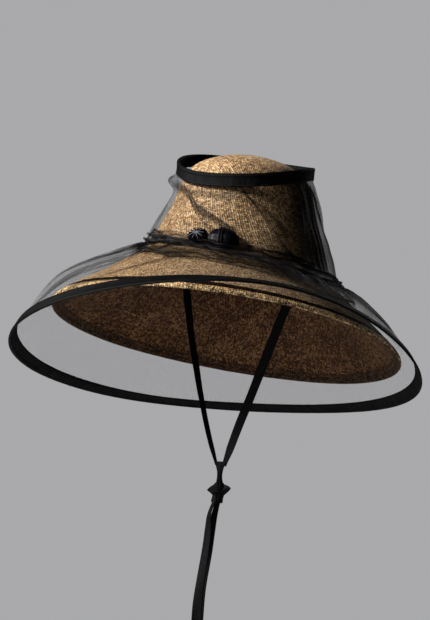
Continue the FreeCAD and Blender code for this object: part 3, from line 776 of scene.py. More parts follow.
def straw_shell(name, s0, s1, n_around, n_along, top=False):
    t = np.arange(n_around) / n_around * TAU + math.pi / 2
    s = np.linspace(s0, s1, n_along)
    if top:
        s = np.concatenate([np.linspace(-0.985, -0.1, 7), s])
    T, S = np.meshgrid(t, s, indexing="ij")
    un = T / TAU
    wave = 0.35 * noise2(5, un, S / 17, 9, 3)
    wave = wave * smooth((S - 1) / 3)
    out = surf(S, T, wave)
    inn = surf(S, T, wave - WALL)
    P = np.concatenate([out, inn[:, ::-1]], 1)
    tt = np.append(t, t[0] + TAU)
    r = np.append(rho(s), rho(s)[::-1])
    UV = np.zeros((n_around + 1, len(r) + 1, 2))
    rr = np.append(r, r[0])
    UV[..., 0] = rr[None] * np.cos(tt)[:, None] * MM
    UV[..., 1] = rr[None] * np.sin(tt)[:, None] * MM
    if top:
        # below the dome the weave runs round and up the crown
        ss = np.append(np.append(s, s[::-1]), s[0])
        side = ss > 4.3
        UV[:, side, 0] = ((tt - tt[0]) / TAU * 184 * 0.0029)[:, None]
        UV[:, side, 1] = (rr[side] * MM)[None]
    o = mesh_from_grid(name, P, UV, close_u=True, close_v=not top)
    if not top:
        # the closing strip at the cut edge needs its own coordinates: same radius on both faces
        pass
    ns = len(s)
    inner = np.zeros(len(o.data.polygons), bool)
    nv = P.shape[1]
    cols = nv if not top else nv - 1
    k = np.arange(len(o.data.polygons)) % cols
    inner = k >= ns
    o["inner_faces"] = 0
    return o, inner


crown, inner = straw_shell("woven_crown", 0.0, S_JOIN, 256, 56, top=True)
crown.data.materials.append(mat_crown)
crown.data.materials.append(mat_under_painted_shade)
crown.data.polygons.foreach_set("material_index", inner.astype(np.int32))
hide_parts("straw_crown"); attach(crown, "hat")

brim, inner = straw_shell("woven_brim", S_JOIN, S_STRAW, 320, 64)
brim.data.materials.append(mat_brim)
brim.data.materials.append(mat_under_painted_shade)
brim.data.polygons.foreach_set("material_index", inner.astype(np.int32))
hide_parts("straw_brim"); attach(brim, "hat")


def ring_of(name, section, n, uv_of=None, cap=False):
    """closed ring: section(t) gives (m,3) points; the distance round the section in mm is worked out here, and uv_of
    is not used
    """
    t = np.arange(n) / n * TAU
    P = section(t)
    m = P.shape[1]
    around = np.linalg.norm(np.diff(np.concatenate([P, P[:1]]), axis=0).mean(1), axis=-1)
    arc = np.concatenate([[0], np.cumsum(around)]) * MM
    sec = np.linalg.norm(np.diff(np.concatenate([P[0], P[0][:1]]), axis=0), axis=-1)
    v = np.concatenate([[0], np.cumsum(sec)]) * MM
    UV = np.zeros((n + 1, m + 1, 2))
    UV[..., 0] = arc[:, None]
    UV[..., 1] = v[None]
    return mesh_from_grid(name, P, UV, close_u=True, close_v=True)


# hem: a straw strip folded round the brim edge, fuller where it holds the wire
s_in = s_at_r(199.0)
s_out = s_at_r(BRIM_R - 0.2)


HEM_Q = np.concatenate([[-0.22, -0.19, -0.16, -0.13], np.linspace(-0.09, 0.40, 8), [0.42, 0.45, 0.48], np.linspace(0.52, 1.0, 13)])


def hem_section(t):
    q = HEM_Q
    s = s_in + (s_out - s_in) * q
    roll = np.sqrt(np.clip(1 - ((q - 0.80) / 0.20) ** 2, 0, 1))
    close = np.where(q > 0.8, roll, 1.0)
    lip = 1.0 * smooth((q + 0.19) / 0.06)
    strip = 1.15 * smooth((q - 0.42) / 0.06)
    un = t / TAU
    n = 0.25 * noise2(31, un[:, None], q[None], 90, 1.2)
    mid = -WALL / 2 + 0.35 * noise2(5, un[:, None], s[None] / 17, 9, 3)
    up_ = mid + (WALL / 2 - 0.35 + lip + strip) * close + n * 0.6
    dn = mid - (WALL / 2 - 0.3 + 1.0 * smooth(q / 0.1) + 0.55 * smooth((q - 0.45) / 0.15)) * close - n * 0.6
    top = surf(s[None], t[:, None], up_)
    bot = surf(s[None], t[:, None], dn)
    return np.concatenate([top, bot[:, ::-1]], 1)


hem = ring_of("brim_folded_edge", hem_section, 420)
finish_piece(hem, "hat", "straw_hem", mat_hem_painted_light, "brim_hem")
hem.data.materials.append(mat_hem_under_painted_shade)
hem.data.materials.append(mat_groove_painted_shade)
nq = len(HEM_Q)
col = np.arange(len(hem.data.polygons)) % (2 * nq)
idx = np.zeros(len(col), np.int32)
idx[(col >= nq)] = 1
# faces of the step above the fold take the painted shade material
idx[(col < nq - 1) & (HEM_Q[np.minimum(col, nq - 1)] >= -0.20) & (HEM_Q[np.minimum(col, nq - 1)] < 0.44)] = 2
hem.data.polygons.foreach_set("material_index", idx)

# row of stitches that holds the folded edge
def stitch_ring(name, s, d, n_st, length, r, body, mat, parent_pts=None, point=None):
    verts, faces = [], []
    t0 = np.arange(n_st) / n_st * TAU
    dt = TAU / n_st * length
    ring = 6
    for t in t0:
        ts = np.linspace(t, t + dt, 5)
        c = point(ts) if point else surf(s, ts, d)
        lift = np.array([0.0, 0.6, 0.8, 0.6, 0.0]) * r
        tan = unit(np.gradient(c, axis=0))
        nrm = unit(np.stack([np.cos(ts), np.sin(ts), 0.9 + 0 * ts], -1))
        side = unit(np.cross(tan, nrm))
        nrm = unit(np.cross(side, tan))
        base = len(verts)
        for i in range(5):
            rr = r * (0.55 if i in (0, 4) else 1.0)
            for k in range(ring):
                a = k / ring * TAU
                verts.append(tuple((c[i] + nrm[i] * (lift[i] + rr * math.sin(a)) + side[i] * rr * math.cos(a)) * MM))
        for i in range(4):
            for k in range(ring):
                k2 = (k + 1) % ring
                faces.append((base + i * ring + k, base + i * ring + k2, base + (i + 1) * ring + k2, base + (i + 1) * ring + k))
        faces.append(tuple(base + k for k in range(ring))[::-1])
        faces.append(tuple(base + 4 * ring + k for k in range(ring)))
    me = bpy.data.meshes.new(name)
    me.from_pydata(verts, [], faces)
    for p in me.polygons:
        p.use_smooth = True
    o = bpy.data.objects.new(name, me)
    bpy.context.scene.collection.objects.link(o)
    me.materials.append(mat)
    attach(o, body)
    return o


s_st = s_in + (s_out - s_in) * 0.56
stitch_ring("brim_edge_stitches", s_st, 1.66, 330, 0.62, 0.24, "hat", mat_straw_thread)


# flat spring wire in the fold; it follows the waves of the edge
def brim_wire_section(t):
    sa, sb = s_at_r(BRIM_R - 3.6), s_at_r(BRIM_R - 1.5)
    prof = [(0, -0.55), (0.12, -0.9), (0.5, -0.95), (0.88, -0.9), (1, -0.55), (1, 0.0), (0.88, 0.32), (0.5, 0.36), (0.12, 0.32), (0, 0.0)]
    return np.stack([surf(np.full(t.shape, sa + (sb - sa) * q), t, -0.55 + h) for q, h in prof], 1)


wire = ring_of("brim_spring_wire", brim_wire_section, 300)
finish_piece(wire, "hat", "wire", mat_wire, "brim_wire")

# sweatband: ribbed tape inside the crown
def sweat_section(t):
    q = np.linspace(0, 1, 12)
    s = 8.0 + 1.8 * q
    un = (t / TAU)[:, None]
    n = 0.25 * noise2(41, un, q[None], 14, 0.8)
    out = surf(s[None], t[:, None], -STRAW_T - 0.4 + 0 * n)
    inn = surf(s[None], t[:, None], -STRAW_T - 0.4 - SWEAT_T + n + 0.3 * np.abs(q - 0.5)[None])
    return np.concatenate([inn, out[:, ::-1]], 1)


sweat = ring_of("ribbed_sweatband", sweat_section, 240)
finish_piece(sweat, "hat", "sweatband", mat_sweat, "sweatband")
stitch_ring("sweatband_stitches", 8.14, -STRAW_T - 0.4 - SWEAT_T - 0.15, 150, 0.6, 0.22, "hat", mat_black_thread)

# tabs that carry the ribbons: folded satin with rounded ends
for name, node in (("ribbon_tab_left", "tie_anchor_left"), ("ribbon_tab_right", "tie_anchor_right")):
    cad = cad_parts[node]
    co = np.array([v.co for v in cad.data.vertices], float) / MM
    c = (co.min(0) + co.max(0)) / 2
    ctr = co - co.mean(0)
    _, _, vt = np.linalg.svd(ctr, full_matrices=False)
    ext = [(co - c) @ a for a in vt]
    half = [(e.max() - e.min()) / 2 for e in ext]
    cen = c + sum(a * (e.max() + e.min()) / 2 for a, e in zip(vt, ext))
    order = np.argsort(half)[::-1]
    A, B, C = (vt[i] for i in order)
    ha, hb, hc = (half[i] for i in order)
    n, m = 26, 24
    x = np.linspace(-1, 1, n)
    th = np.arange(m) / m * TAU
    P = np.zeros((n, m, 3))
    for i, q in enumerate(x):
        w = hb * (1 - 0.12 * abs(q) ** 6) * (1 - 0.10 * (1 - q * q))
        h = hc * (0.62 + 0.38 * abs(q) ** 3) * (1 - 0.5 * max(0, abs(q) - 0.93) / 0.07)
        cs, sn = np.cos(th), np.sin(th)
        P[i] = cen + A * (q * ha) + np.outer(np.sign(cs) * np.abs(cs) ** 0.35 * w, B) + np.outer(np.sign(sn) * np.abs(sn) ** 0.6 * h * (1 + 0.12 * np.cos(3 * th)), C)
    UV = np.zeros((n, m + 1, 2))
    UV[..., 0] = (x * ha * MM)[:, None]
    UV[..., 1] = (np.arange(m + 1) / m * 0.026)[None]
    finish_piece(mesh_from_grid(name, P, UV, close_u=False, close_v=True, cap=True), "hat", "ribbon", mat_ribbon, node)

# ------------------------------------------------------------------ veil: bindings
def tape_section(half_w, half_t, bulge_at, bulge, n=22):
    """flat folded tape with a round bulge where the wire lies: list of (across, out)"""
    x = np.linspace(-1, 1, n)
    h = half_t * np.sqrt(np.clip(1 - np.abs(x) ** 10, 0, 1)) + bulge * np.exp(-((x * half_w - bulge_at) / 1.5) ** 2)
    return np.concatenate([np.stack([x * half_w, h], -1), np.stack([x[::-1] * half_w, -h[::-1]], -1)])


def top_section(t):
    n = len(t)
    prof = tape_section(TOP_H / 2, 1.15, TOP_H / 2 - 2.8, 0.45)
    a, h = prof[:, 1], prof[:, 0]
    loose = 0.22 + 0.78 * np.clip((TOP_H / 2 - 4 - h) / TOP_H, 0, 1)
    out = (0.8 * noise1(51, n, 6) + 0.35 * noise1(52, n, 26))[:, None] * loose[None]
    rise = 0.25 * noise1(53, n, 5)
    lean = 0.03 * noise1(54, n, 5)
    puck = 0.16 * noise1(55, n, 120)
    r = TOP_R + a[None] + out + lean[:, None] * h[None] + puck[:, None] * np.sign(a)[None] * 0.8 * loose[None]
    return top_point(t[:, None], r, h[None] + rise[:, None])


top_ring = ring_of("top_ring_satin", top_section, 420)
finish_piece(top_ring, "veil", "satin", mat_satin, "top_ring_binding")
stitch_ring("top_ring_stitches", 0, 0, 260, 0.6, 0.16, "veil", mat_black_thread,
            point=lambda ts: top_point(ts, TOP_R + 1.25 + 0.8 * np.interp(ts % TAU, np.arange(420) / 420 * TAU, noise1(51, 420, 6)), -TOP_H / 2 + 1.8))


def hem_tape_section(t):
    n = len(t)
    prof = tape_section(HOOP_W / 2, 1.1, HOOP_W / 2 - 2.9, 0.40)
    u, v = hoop_dirs(t)
    c = hoop(t)
    cup = 0.5 * noise1(61, n, 9)
    puck = 0.22 * noise1(62, n, 150)
    tilt = 0.06 * noise1(63, n, 12)
    free = 1 - 0.85 * np.exp(-((prof[:, 0] - 5.4) / 3.2) ** 2)
    off = prof[:, 1][None] + (cup[:, None] * ((prof[:, 0] / 8.3) ** 2 - 0.4)[None] + tilt[:, None] * prof[:, 0][None]
                              + puck[:, None] * np.cos(prof[:, 0] / 8.3 * 2.2)[None]) * free[None]
    return c[:, None] + u[:, None] * prof[:, 0][None, :, None] + v[:, None] * off[..., None]


hem_tape = ring_of("hem_satin_tape", hem_tape_section, 720)
finish_piece(hem_tape, "veil_hem", "satin", mat_satin, "hem_binding")
stitch_ring("hem_tape_stitches", 0, 0, 620, 0.6, 0.16, "veil_hem", mat_black_thread,
            point=lambda ts: hoop(ts) + hoop_dirs(ts)[0] * (-HOOP_W / 2 + 2.2) + hoop_dirs(ts)[1] * 0.95)
for w in ("top_ring_wire", "hem_wire"):
    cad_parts[w].data.materials.clear(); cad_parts[w].data.materials.append(mat_wire)

# ------------------------------------------------------------------ veil: nets
LEFT = math.radians(-132)


def gathered(obj, G):
    """how many layers deep the sheet lies at each point, 0 for one layer and 1 for many; round the shaded side of the
    crown it also stands for painted shade
    """
    a = obj.data.attributes.new("gathered", "FLOAT", "POINT")
    a.data.foreach_set("value", np.ascontiguousarray(np.clip(G, 0, 1).astype(np.float32).ravel()))


def crease(T, X, c0, c1, x0, x1, width, depth, line=0.85):
    """a fold lying on the sheet from angle c0 at x0 to c1 at x1: a doubled strip with a sharp dark edge"""
    g = (X - x0) / (x1 - x0)
    d = np.angle(np.exp(1j * (T - (c0 + (c1 - c0) * np.clip(g, 0, 1)))))
    ends = smooth((X - x0) / 0.06 + 0.5) * smooth((x1 - X) / 0.06 + 0.5)
    strip = depth * smooth((width - np.abs(d)) / (0.25 * width))
    edge = line * np.exp(-((d - width * 0.85) / (0.16 * width)) ** 2) + 0.7 * line * np.exp(-((d + width * 0.85) / (0.14 * width)) ** 2)
    return np.maximum(strip, edge) * ends


def near(t, c, w):
    """1 at angle c, falling to 0 at w radians away"""
    d = np.angle(np.exp(1j * (t - c)))
    return smooth(1 - np.abs(d) / w)


def resample(C, m):
    """C: (n, k, 3) control points; a cubic through them by length, m points each"""
    n, k, _ = C.shape
    out = np.zeros((n, m, 3))
    for i in range(n):
        L = np.concatenate([[0], np.cumsum(np.linalg.norm(np.diff(C[i], axis=0), axis=1))])
        f = cubic(L / L[-1], C[i])
        out[i] = f(np.linspace(0, 1, m))
    return out


def fold_shift(T, X, c0, c1, width, pull):
    """sideways shift that folds the sheet over itself along a line from (c0 at X=0) to (c1 at X=1)"""
    c = c0 + (c1 - c0) * X
    d = np.angle(np.exp(1j * (T - c)))
    return pull * (d / width) * np.exp(-(d / width) ** 2)


N_NET, M_NET = 620, 64
t = np.arange(N_NET) / N_NET * TAU
x = np.linspace(0, 1, M_NET)         # 0 at the top ring, 1 in the sash
off_foot = 2.6 + 1.6 * near(t, LEFT, 1.2)
ctrl = []
s_low = sash_s(t, 0.1)
s_up = sash_s(t, 1.3)
end = top_point(t, TOP_R + 0.2, -TOP_H / 2 + 1.2)
start2 = top_point(t, TOP_R + 0.9, -TOP_H / 2 - 4.0)
zt = end[:, 2] - 18.0
a_, b_ = np.full(N_NET, 0.0), np.full(N_NET, 17.0)
for _ in range(34):
    m_ = (a_ + b_) / 2
    hi_ = surf(m_, t)[..., 2] > zt
    a_, b_ = np.where(hi_, m_, a_), np.where(hi_, b_, m_)
s_leave = np.maximum(4.8, a_)
for g, dd, oo in ((0.0, 3.2, 0.15), (0.33, 3.0, 0.40), (0.66, 2.2, 0.75)):
    ctrl.append(surf(s_leave + (s_up - s_leave) * g, t, dd + oo * off_foot))
ctrl.append(surf(s_up, t, 1.6 + off_foot))
ctrl.append(surf(s_low, t, 3.4 + 0.15 * off_foot))
C = np.stack([end, start2] + ctrl, 1)
base = resample(C, M_NET)


def swell(P, T, X, amount):
    """moves points straight out from the crown axis"""
    rad = np.stack([np.cos(T), np.sin(T), 0 * T], -1)
    return P + rad * amount[..., None]


T, X = np.meshgrid(t, x, indexing="ij")
UN = T / TAU
dg = math.radians
# folds lie over one another: the material's angle is moved, so that it doubles back
shift = np.zeros_like(T)
folds = [  # (angle at top, angle at foot, half width, pull)
    (dg(-103), dg(-50), dg(4.5), -dg(9.0)), (dg(-48), dg(-6), dg(4.0), -dg(8.0)), (dg(-128), dg(-138), dg(5.5), dg(9.0)),
    (dg(20), dg(46), dg(4.5), -dg(8.5)), (dg(44), dg(38), dg(3.6), dg(7.0)), (dg(70), dg(58), dg(5.0), dg(9.0)),
    (dg(112), dg(132), dg(5.0), -dg(9.0)), (dg(150), dg(141), dg(4.0), dg(7.5)), (dg(186), dg(170), dg(5.0), dg(9.0)),
    (dg(208), dg(214), dg(4.4), -dg(8.0))]
ease = smooth(X / 0.08) * smooth((1 - X) / 0.05)
for c0, c1, w, p in folds:
    shift += fold_shift(T, X, c0, c1, w, p) * ease
small = 0.55 * noise2(71, UN, X, 70, 1.6) + 0.5 * noise2(72, UN, X, 26, 1.2)
lift = np.zeros_like(T)
for c0, c1, w, p in folds:
    d = np.angle(np.exp(1j * (T - (c0 + (c1 - c0) * X))))
    lift += 1.5 * np.exp(-(d / (w * 1.3)) ** 2) - 1.3 * np.sign(p) * (d / w) * np.exp(-(d / w) ** 2) * -1
# bunch of net that hangs out just below the top ring at the left
bubble = near(T, dg(-130), 0.34) * np.exp(-((X - 0.13) / 0.085) ** 2) * 7.6
bubble2 = near(T, dg(52), 0.30) * np.exp(-((X - 0.30) / 0.20) ** 2) * 3.0
# interpolate the base sheet at the shifted angle
idx = ((T + shift) % TAU) / TAU * N_NET
i0 = np.floor(idx).astype(int) % N_NET
fr = (idx - np.floor(idx))[..., None]
J = np.broadcast_to(np.arange(M_NET), T.shape)
P = base[i0, J] * (1 - fr) + base[(i0 + 1) % N_NET, J] * fr
P = swell(P, T + shift, X, (np.maximum(small, -0.9) * 0.9 + lift + bubble + bubble2) * ease + 0.4)
arc = np.linalg.norm(np.diff(base, axis=1), axis=-1).mean(0)
vv = np.concatenate([[0], np.cumsum(arc)]) * MM
UV = np.zeros((N_NET + 1, M_NET, 2))
UV[..., 0] = (np.arange(N_NET + 1) / N_NET * TAU * 0.100)[:, None]
UV[..., 1] = vv[None]
net = mesh_from_grid("crown_tulle", P, UV)
TW = np.angle(np.exp(1j * T))
G = np.maximum.reduce([
    crease(T, X, dg(-112), dg(-52), 0.06, 0.66, dg(4.8), 0.60, 1.0),
    crease(T, X, dg(-48), dg(-12), 0.05, 0.62, dg(3.8), 0.42, 0.6),
    crease(T, X, dg(-128), dg(-139), 0.10, 0.95, dg(2.2), 0.35),
    crease(T, X, dg(20), dg(44), 0.05, 0.9, dg(3.0), 0.5),
    crease(T, X, dg(112), dg(132), 0.05, 0.9, dg(3.2), 0.45),
    crease(T, X, dg(186), dg(170), 0.05, 0.9, dg(3.2), 0.45),
    # a loose roll of net just under the ring
    0.62 * np.exp(-((X - 0.115 - 0.03 * np.sin(3 * T)) / 0.035) ** 2) * smooth((TW + dg(150)) / dg(12)) * smooth((dg(-8) - TW) / dg(50)),
    # bunched net below the ring at the front left
    0.88 * near(T, dg(-114), 0.26) * np.exp(-((X - 0.15) / 0.08) ** 2),
    # gathered in many layers round the side, and near opaque there partly as painted shade
    0.84 * smooth((TW + dg(17)) / dg(20)) * smooth((dg(52) - TW) / dg(14)),
    0.45 * smooth((TW + dg(44)) / dg(20)) * smooth((dg(52) - TW) / dg(14)) * smooth((X - 0.72) / 0.12),
    0.03 + 0.06 * noise2(75, UN, X, 12, 2.0)])
gathered(net, G)
finish_piece(net, "veil", "tulle", mat_net, "veil_crown_net")


def sheet_area(o):
    me = o.data
    return sum(p.area for p in me.polygons)


# elastic under the gathers
def elastic_section(t):
    q = np.linspace(0, 1, 8)
    f = 0.45 - 0.9 * q
    s = np.stack([sash_s(t, a) for a in f], 1)
    n = 0.12 * noise2(81, (t / TAU)[:, None], q[None], 120, 0.5)
    hi = surf(s, t[:, None], 1.3 + n)
    lo = surf(s, t[:, None], 0.45 + 0 * n)
    return np.concatenate([hi, lo[:, ::-1]], 1)


elastic = ring_of("gathering_elastic", elastic_section, 240)
finish_piece(elastic, "veil", "elastic", mat_elastic, "crown_elastic")

# sash: tulle gathered into soft lengthwise pleats that wander round the crown
N_S, M_S = 420, 84
t = np.arange(N_S) / N_S * TAU
q = np.linspace(0, 1, M_S)
T, Q = np.meshgrid(t, q, indexing="ij")
UN = T / TAU
K = 3.4
wander = 1.7 * noise2(91, UN, Q * 0.3, 5, 0.6) + 0.45 * noise2(92, UN, Q * 0.3, 16, 0.6)
TW = np.angle(np.exp(1j * T))
f_low = 1.35 + 1.25 * near(T, dg(-82), 1.05) + 0.75 * near(T, dg(-12), 0.8) + 1.3 * near(T, dg(42), 0.5) + 0.3 * near(T, dg(150), 1.2)
f_up = 1.0 + 0.75 * near(T, dg(-8), 0.85)
F = f_up * (1 - Q) - f_low * Q + 0.30 * np.sin(TAU * K * Q + wander) * smooth(Q / 0.08) * smooth((1 - Q) / 0.08)
s_tab_f = np.linspace(-3.2, 3.2, 33)
s_tab = np.stack([sash_s(t, f) for f in s_tab_f], 1)
fi = np.clip((F + 3.2) / 6.4 * 32, 0, 31.999)
k0 = np.floor(fi).astype(int)
SS = np.take_along_axis(s_tab, k0, 1) * (1 - (fi - k0)) + np.take_along_axis(s_tab, k0 + 1, 1) * (fi - k0)
bulge = (1 - np.clip(np.where(F > 0, F / f_up, F / f_low), -1, 1) ** 2)
D = 4.0 + 2.4 * bulge + 1.9 * np.cos(TAU * K * Q + wander) * (0.4 + 0.6 * bulge) + 0.5 * noise2(93, UN, Q, 60, 2)
D += near(T, LEFT, 1.1) * 1.0 * bulge + near(T, dg(44), 0.45) * 3.5 * bulge
P = surf(SS, T, np.maximum(D, 3.3))
UV = np.zeros((N_S + 1, M_S, 2))
UV[..., 0] = (np.arange(N_S + 1) / N_S * TAU * 0.115)[:, None]
sec = np.linalg.norm(np.diff(P, axis=1), axis=-1).mean(0)
UV[..., 1] = (np.concatenate([[0], np.cumsum(sec)]) * MM)[None]
sash = mesh_from_grid("gathered_sash", P, UV)
streak = noise2(94, UN, Q, 4, 9, terms=40) + 0.5 * noise2(95, UN, Q, 9, 22, terms=40)
G = np.clip(0.34 + 0.42 * streak, 0, 0.8) * smooth(Q / 0.06) * smooth((1 - Q) / 0.10)
# the sash lies in more layers round the shaded side, and is made near opaque there partly as painted shade
G = np.maximum(G, 0.72 * smooth((TW + dg(40)) / dg(30)) * smooth((dg(60) - TW) / dg(14)) * smooth(Q / 0.10) * smooth((1 - Q) / 0.2))
gathered(sash, G)
finish_piece(sash, "veil", "tulle_gathered", mat_net_dense, "sash")

# skirt: from the sash over the brim to the hoop
N_K, M_K = 640, 72
t = np.arange(N_K) / N_K * TAU
s0 = sash_s(t, -0.9) + 0.05
rad = np.stack([np.cos(t), np.sin(t), 0 * t], -1)
pl = near(t, dg(-138), 1.0)
pr = near(t, dg(42), 0.9)
C = [surf(s0, t, 4.4), surf(s0 + (13.2 - s0) * 0.5, t, 9.0 - 2.6 * pl + 1.6 * pr), surf(np.full(N_K, 13.4), t, 12.5 + 1.6 * pl + 1.6 * pr),
     surf(np.full(N_K, 14.4), t, 12.5 + 4.2 * pl + 2.4 * pr), surf(np.full(N_K, 15.3), t, 10.5 + 6.5 * pl + 2.0 * pr), surf(np.full(N_K, 16.0), t, 8.0 + 7.0 * pl)]
u, v = hoop_dirs(t)
end = hoop(t) - u * (HOOP_W / 2 - 1.2)[..., None] if np.ndim(HOOP_W) else hoop(t) - u * (HOOP_W / 2 - 1.2)
p0 = C[3]
for i in (4, 5):
    f = np.sum((C[i] - p0) * rad, -1) / np.sum((end - p0) * rad, -1)
    zl = p0[:, 2] + (end[:, 2] - p0[:, 2]) * f
    C[i] = C[i].copy()
    C[i][:, 2] += 0.5 * ((zl - C[i][:, 2]) + np.hypot(zl - C[i][:, 2], 3.0))
# keep the last run to the hoop from bunching up where the hoop comes near the brim edge
gap = np.linalg.norm(end - C[5], axis=-1)
pull = smooth((26 - gap) / 18)[:, None]
C[5] = C[5] * (1 - pull) + (C[4] * 0.45 + end * 0.55) * pull
C = np.stack(C + [end], 1)
base = resample(C, M_K)
x = np.linspace(0, 1, M_K)
T, X = np.meshgrid(t, x, indexing="ij")
UN = T / TAU
shift = np.zeros_like(T)
folds = [  # (angle at the sash, angle at the hoop, half width, pull): folds run out from the sash and die away
    (dg(-62), dg(-92), dg(3.4), dg(6.6)), (dg(-84), dg(-110), dg(3.2), dg(6.2)), (dg(-34), dg(-20), dg(3.0), -dg(5.8)),
    (dg(20), dg(26), dg(2.8), -dg(5.6)), (dg(33), dg(34), dg(2.6), dg(5.4)), (dg(44), dg(40), dg(3.0), dg(6.0)), (dg(60), dg(66), dg(3.6), dg(7.0)),
    (dg(96), dg(88), dg(4.0), -dg(7.6)), (dg(131), dg(137), dg(3.6), dg(7.0)), (dg(160), dg(152), dg(3.4), -dg(6.8)),
    (dg(196), dg(204), dg(4.0), dg(7.8)), (dg(224), dg(219), dg(3.2), -dg(6.2)), (dg(240), dg(247), dg(3.0), dg(6.0))]
reach = smooth((1 - X) / 0.55) * smooth(X / 0.05)
lift = np.zeros_like(T)
for c0, c1, w, p in folds:
    c = c0 + (c1 - c0) * X
    d = np.angle(np.exp(1j * (T - c)))
    shift += p * (d / w) * np.exp(-(d / w) ** 2) * reach
    lift += (1.2 * np.exp(-(d / (w * 1.3)) ** 2) + 1.2 * np.sign(p) * (d / w) * np.exp(-(d / w) ** 2)) * reach
gather = (1.1 * noise2(101, UN, X, 46, 0.5) + 0.9 * noise2(102, UN, X, 90, 0.5)) * smooth((0.8 - X) / 0.8) * smooth(X / 0.05)
billow = 2.2 * noise2(103, UN, X, 7, 0.8) * smooth(X / 0.2) * smooth((1 - X) / 0.25)
idx = ((T + shift) % TAU) / TAU * N_K
i0 = np.floor(idx).astype(int) % N_K
fr = (idx - np.floor(idx))[..., None]
J = np.broadcast_to(np.arange(M_K), T.shape)
P = base[i0, J] * (1 - fr) + base[(i0 + 1) % N_K, J] * fr
du = np.gradient(base, axis=1)
nrm = unit(np.stack([-du[..., 2] * rad[:, None, 0], -du[..., 2] * rad[:, None, 1], np.sum(du * rad[:, None], -1)], -1))
nrm = nrm[i0, J]
P = P + nrm * np.maximum(gather + billow + lift, -4.0)[..., None]
UV = np.zeros((N_K + 1, M_K, 2))
arc = np.linalg.norm(np.diff(base, axis=1), axis=-1).mean(0)
UV[..., 0] = (np.arange(N_K + 1) / N_K * TAU * 0.185)[:, None]
UV[..., 1] = (np.concatenate([[0], np.cumsum(arc)]) * MM)[None]
skirt = mesh_from_grid("veil_skirt_tulle", P, UV)
TW = np.angle(np.exp(1j * T))
# the skirt's bunched side, made near opaque partly as painted shade on the shaded side
dense_and_painted_shade = smooth((TW + dg(56)) / dg(36)) * smooth((dg(50) - TW) / dg(12))
G = np.maximum.reduce([
    crease(T, X, dg(-66), dg(-112), 0.02, 0.92, dg(2.6), 0.60, 1.0),
    crease(T, X, dg(-92), dg(-124), 0.02, 0.62, dg(2.2), 0.40),
    crease(T, X, dg(-106), dg(-128), 0.02, 0.70, dg(1.6), 0.30),
    crease(T, X, dg(-34), dg(-18), 0.02, 0.80, dg(2.6), 0.45, 0.7),
    crease(T, X, dg(26), dg(31), 0.02, 0.75, dg(1.8), 0.5),
    crease(T, X, dg(38), dg(38), 0.02, 0.70, dg(1.6), 0.5),
    crease(T, X, dg(96), dg(88), 0.02, 0.70, dg(3.0), 0.4),
    crease(T, X, dg(160), dg(152), 0.02, 0.70, dg(2.8), 0.4),
    crease(T, X, dg(204), dg(212), 0.02, 0.70, dg(2.8), 0.4),
    0.88 * dense_and_painted_shade * smooth((0.84 - X) / 0.30),
    0.55 * smooth((0.16 - X) / 0.14),
    0.75 * near(T, dg(40), 0.40) * smooth((0.44 - X) / 0.12),
    (0.10 + 0.10 * noise2(105, UN, X, 30, 1.0)) * smooth((0.6 - X) / 0.4)])
gathered(skirt, G)
skirt.data.materials.append(mat_net)
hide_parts("veil_skirt_net")
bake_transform(skirt)
wgt = np.broadcast_to(smooth(x)[None], T.shape).astype(np.float32).ravel()

# ------------------------------------------------------------------ ornament: knot and rosette
def local_frame(theta_deg, z, r, lean=20.0):
    th, ln = math.radians(theta_deg), math.radians(lean)
    radial, tang = np.array([math.cos(th), math.sin(th), 0]), np.array([-math.sin(th), math.cos(th), 0])
    out = radial * math.cos(ln) + np.array([0, 0, math.sin(ln)])
    upv = np.array([0, 0, math.cos(ln)]) - radial * math.sin(ln)
    return radial * r + np.array([0, 0, z]), tang, upv, out


kc, kt, ku, ko = local_frame(-56.0, 10.7, 112.5)
n, m = 56, 72
lat = np.linspace(0.02, math.pi - 0.02, n)
lon = np.arange(m) / m * TAU
LA, LO = np.meshgrid(lat, lon, indexing="ij")
cx, cu_, co_ = np.cos(LA), np.sin(LA) * np.sin(LO), np.sin(LA) * np.cos(LO)
groove = 1 + 0.018 * np.cos(9 * LO + 1.6 * cx) * np.sin(LA) - 0.03 * np.exp(-((cx - 0.12) / 0.10) ** 2) - 0.03 * np.exp(-((cx + 0.30) / 0.10) ** 2)
P = kc + (cx * groove)[..., None] * kt * 18.4 + (cu_ * groove)[..., None] * ku * 14.4 + (co_ * groove)[..., None] * ko * 12.0
UV = np.zeros((n, m + 1, 2))
UV[..., 0] = (lat * 0.018)[:, None]
UV[..., 1] = (np.arange(m + 1) / m * 0.08)[None]
body = mesh_from_grid("kb", P, UV, close_u=False, close_v=True, cap=True)
b1 = band_around("kw", kc - kt * 1.6, ku * 14.4, ko * 12.0, kt, 6.5, 0.55, groove=0.22, lobes=2, seed=2)
o_knot = join("sash_satin_knot", [body, b1])
finish_piece(o_knot, "veil", "satin_ornament", mat_knot, "sash_knot")

rc, rt, ru, ro = local_frame(-70.5, 12.0, 112.5)
n, m = 22, 192
rr = np.linspace(0.03, 1, n)
th = np.arange(m) / m * TAU
RR, TH = np.meshgrid(rr, th, indexing="ij")


def rosette_layer(name, scale, pleats, height, phase, d0):
    pl = np.cos(pleats * TH + phase)
    edge = 1 + 0.05 * pl * RR
    h = d0 + height * (1 - RR ** 2) + 1.1 * pl * RR
    P = rc + (np.cos(TH) * RR * edge * 12.6 * scale)[..., None] * rt + (np.sin(TH) * RR * edge * 8.8 * scale)[..., None] * ru + h[..., None] * ro
    lo = P - ro * 0.7
    full = np.concatenate([P, lo[::-1]], 0)
    UV = np.zeros((2 * n, m + 1, 2))
    UV[..., 0] = np.concatenate([rr, rr[::-1]])[:, None] * 0.013
    UV[..., 1] = (np.arange(m + 1) / m * 0.07)[None]
    return mesh_from_grid(name, full, UV, close_u=False, close_v=True, cap=True)


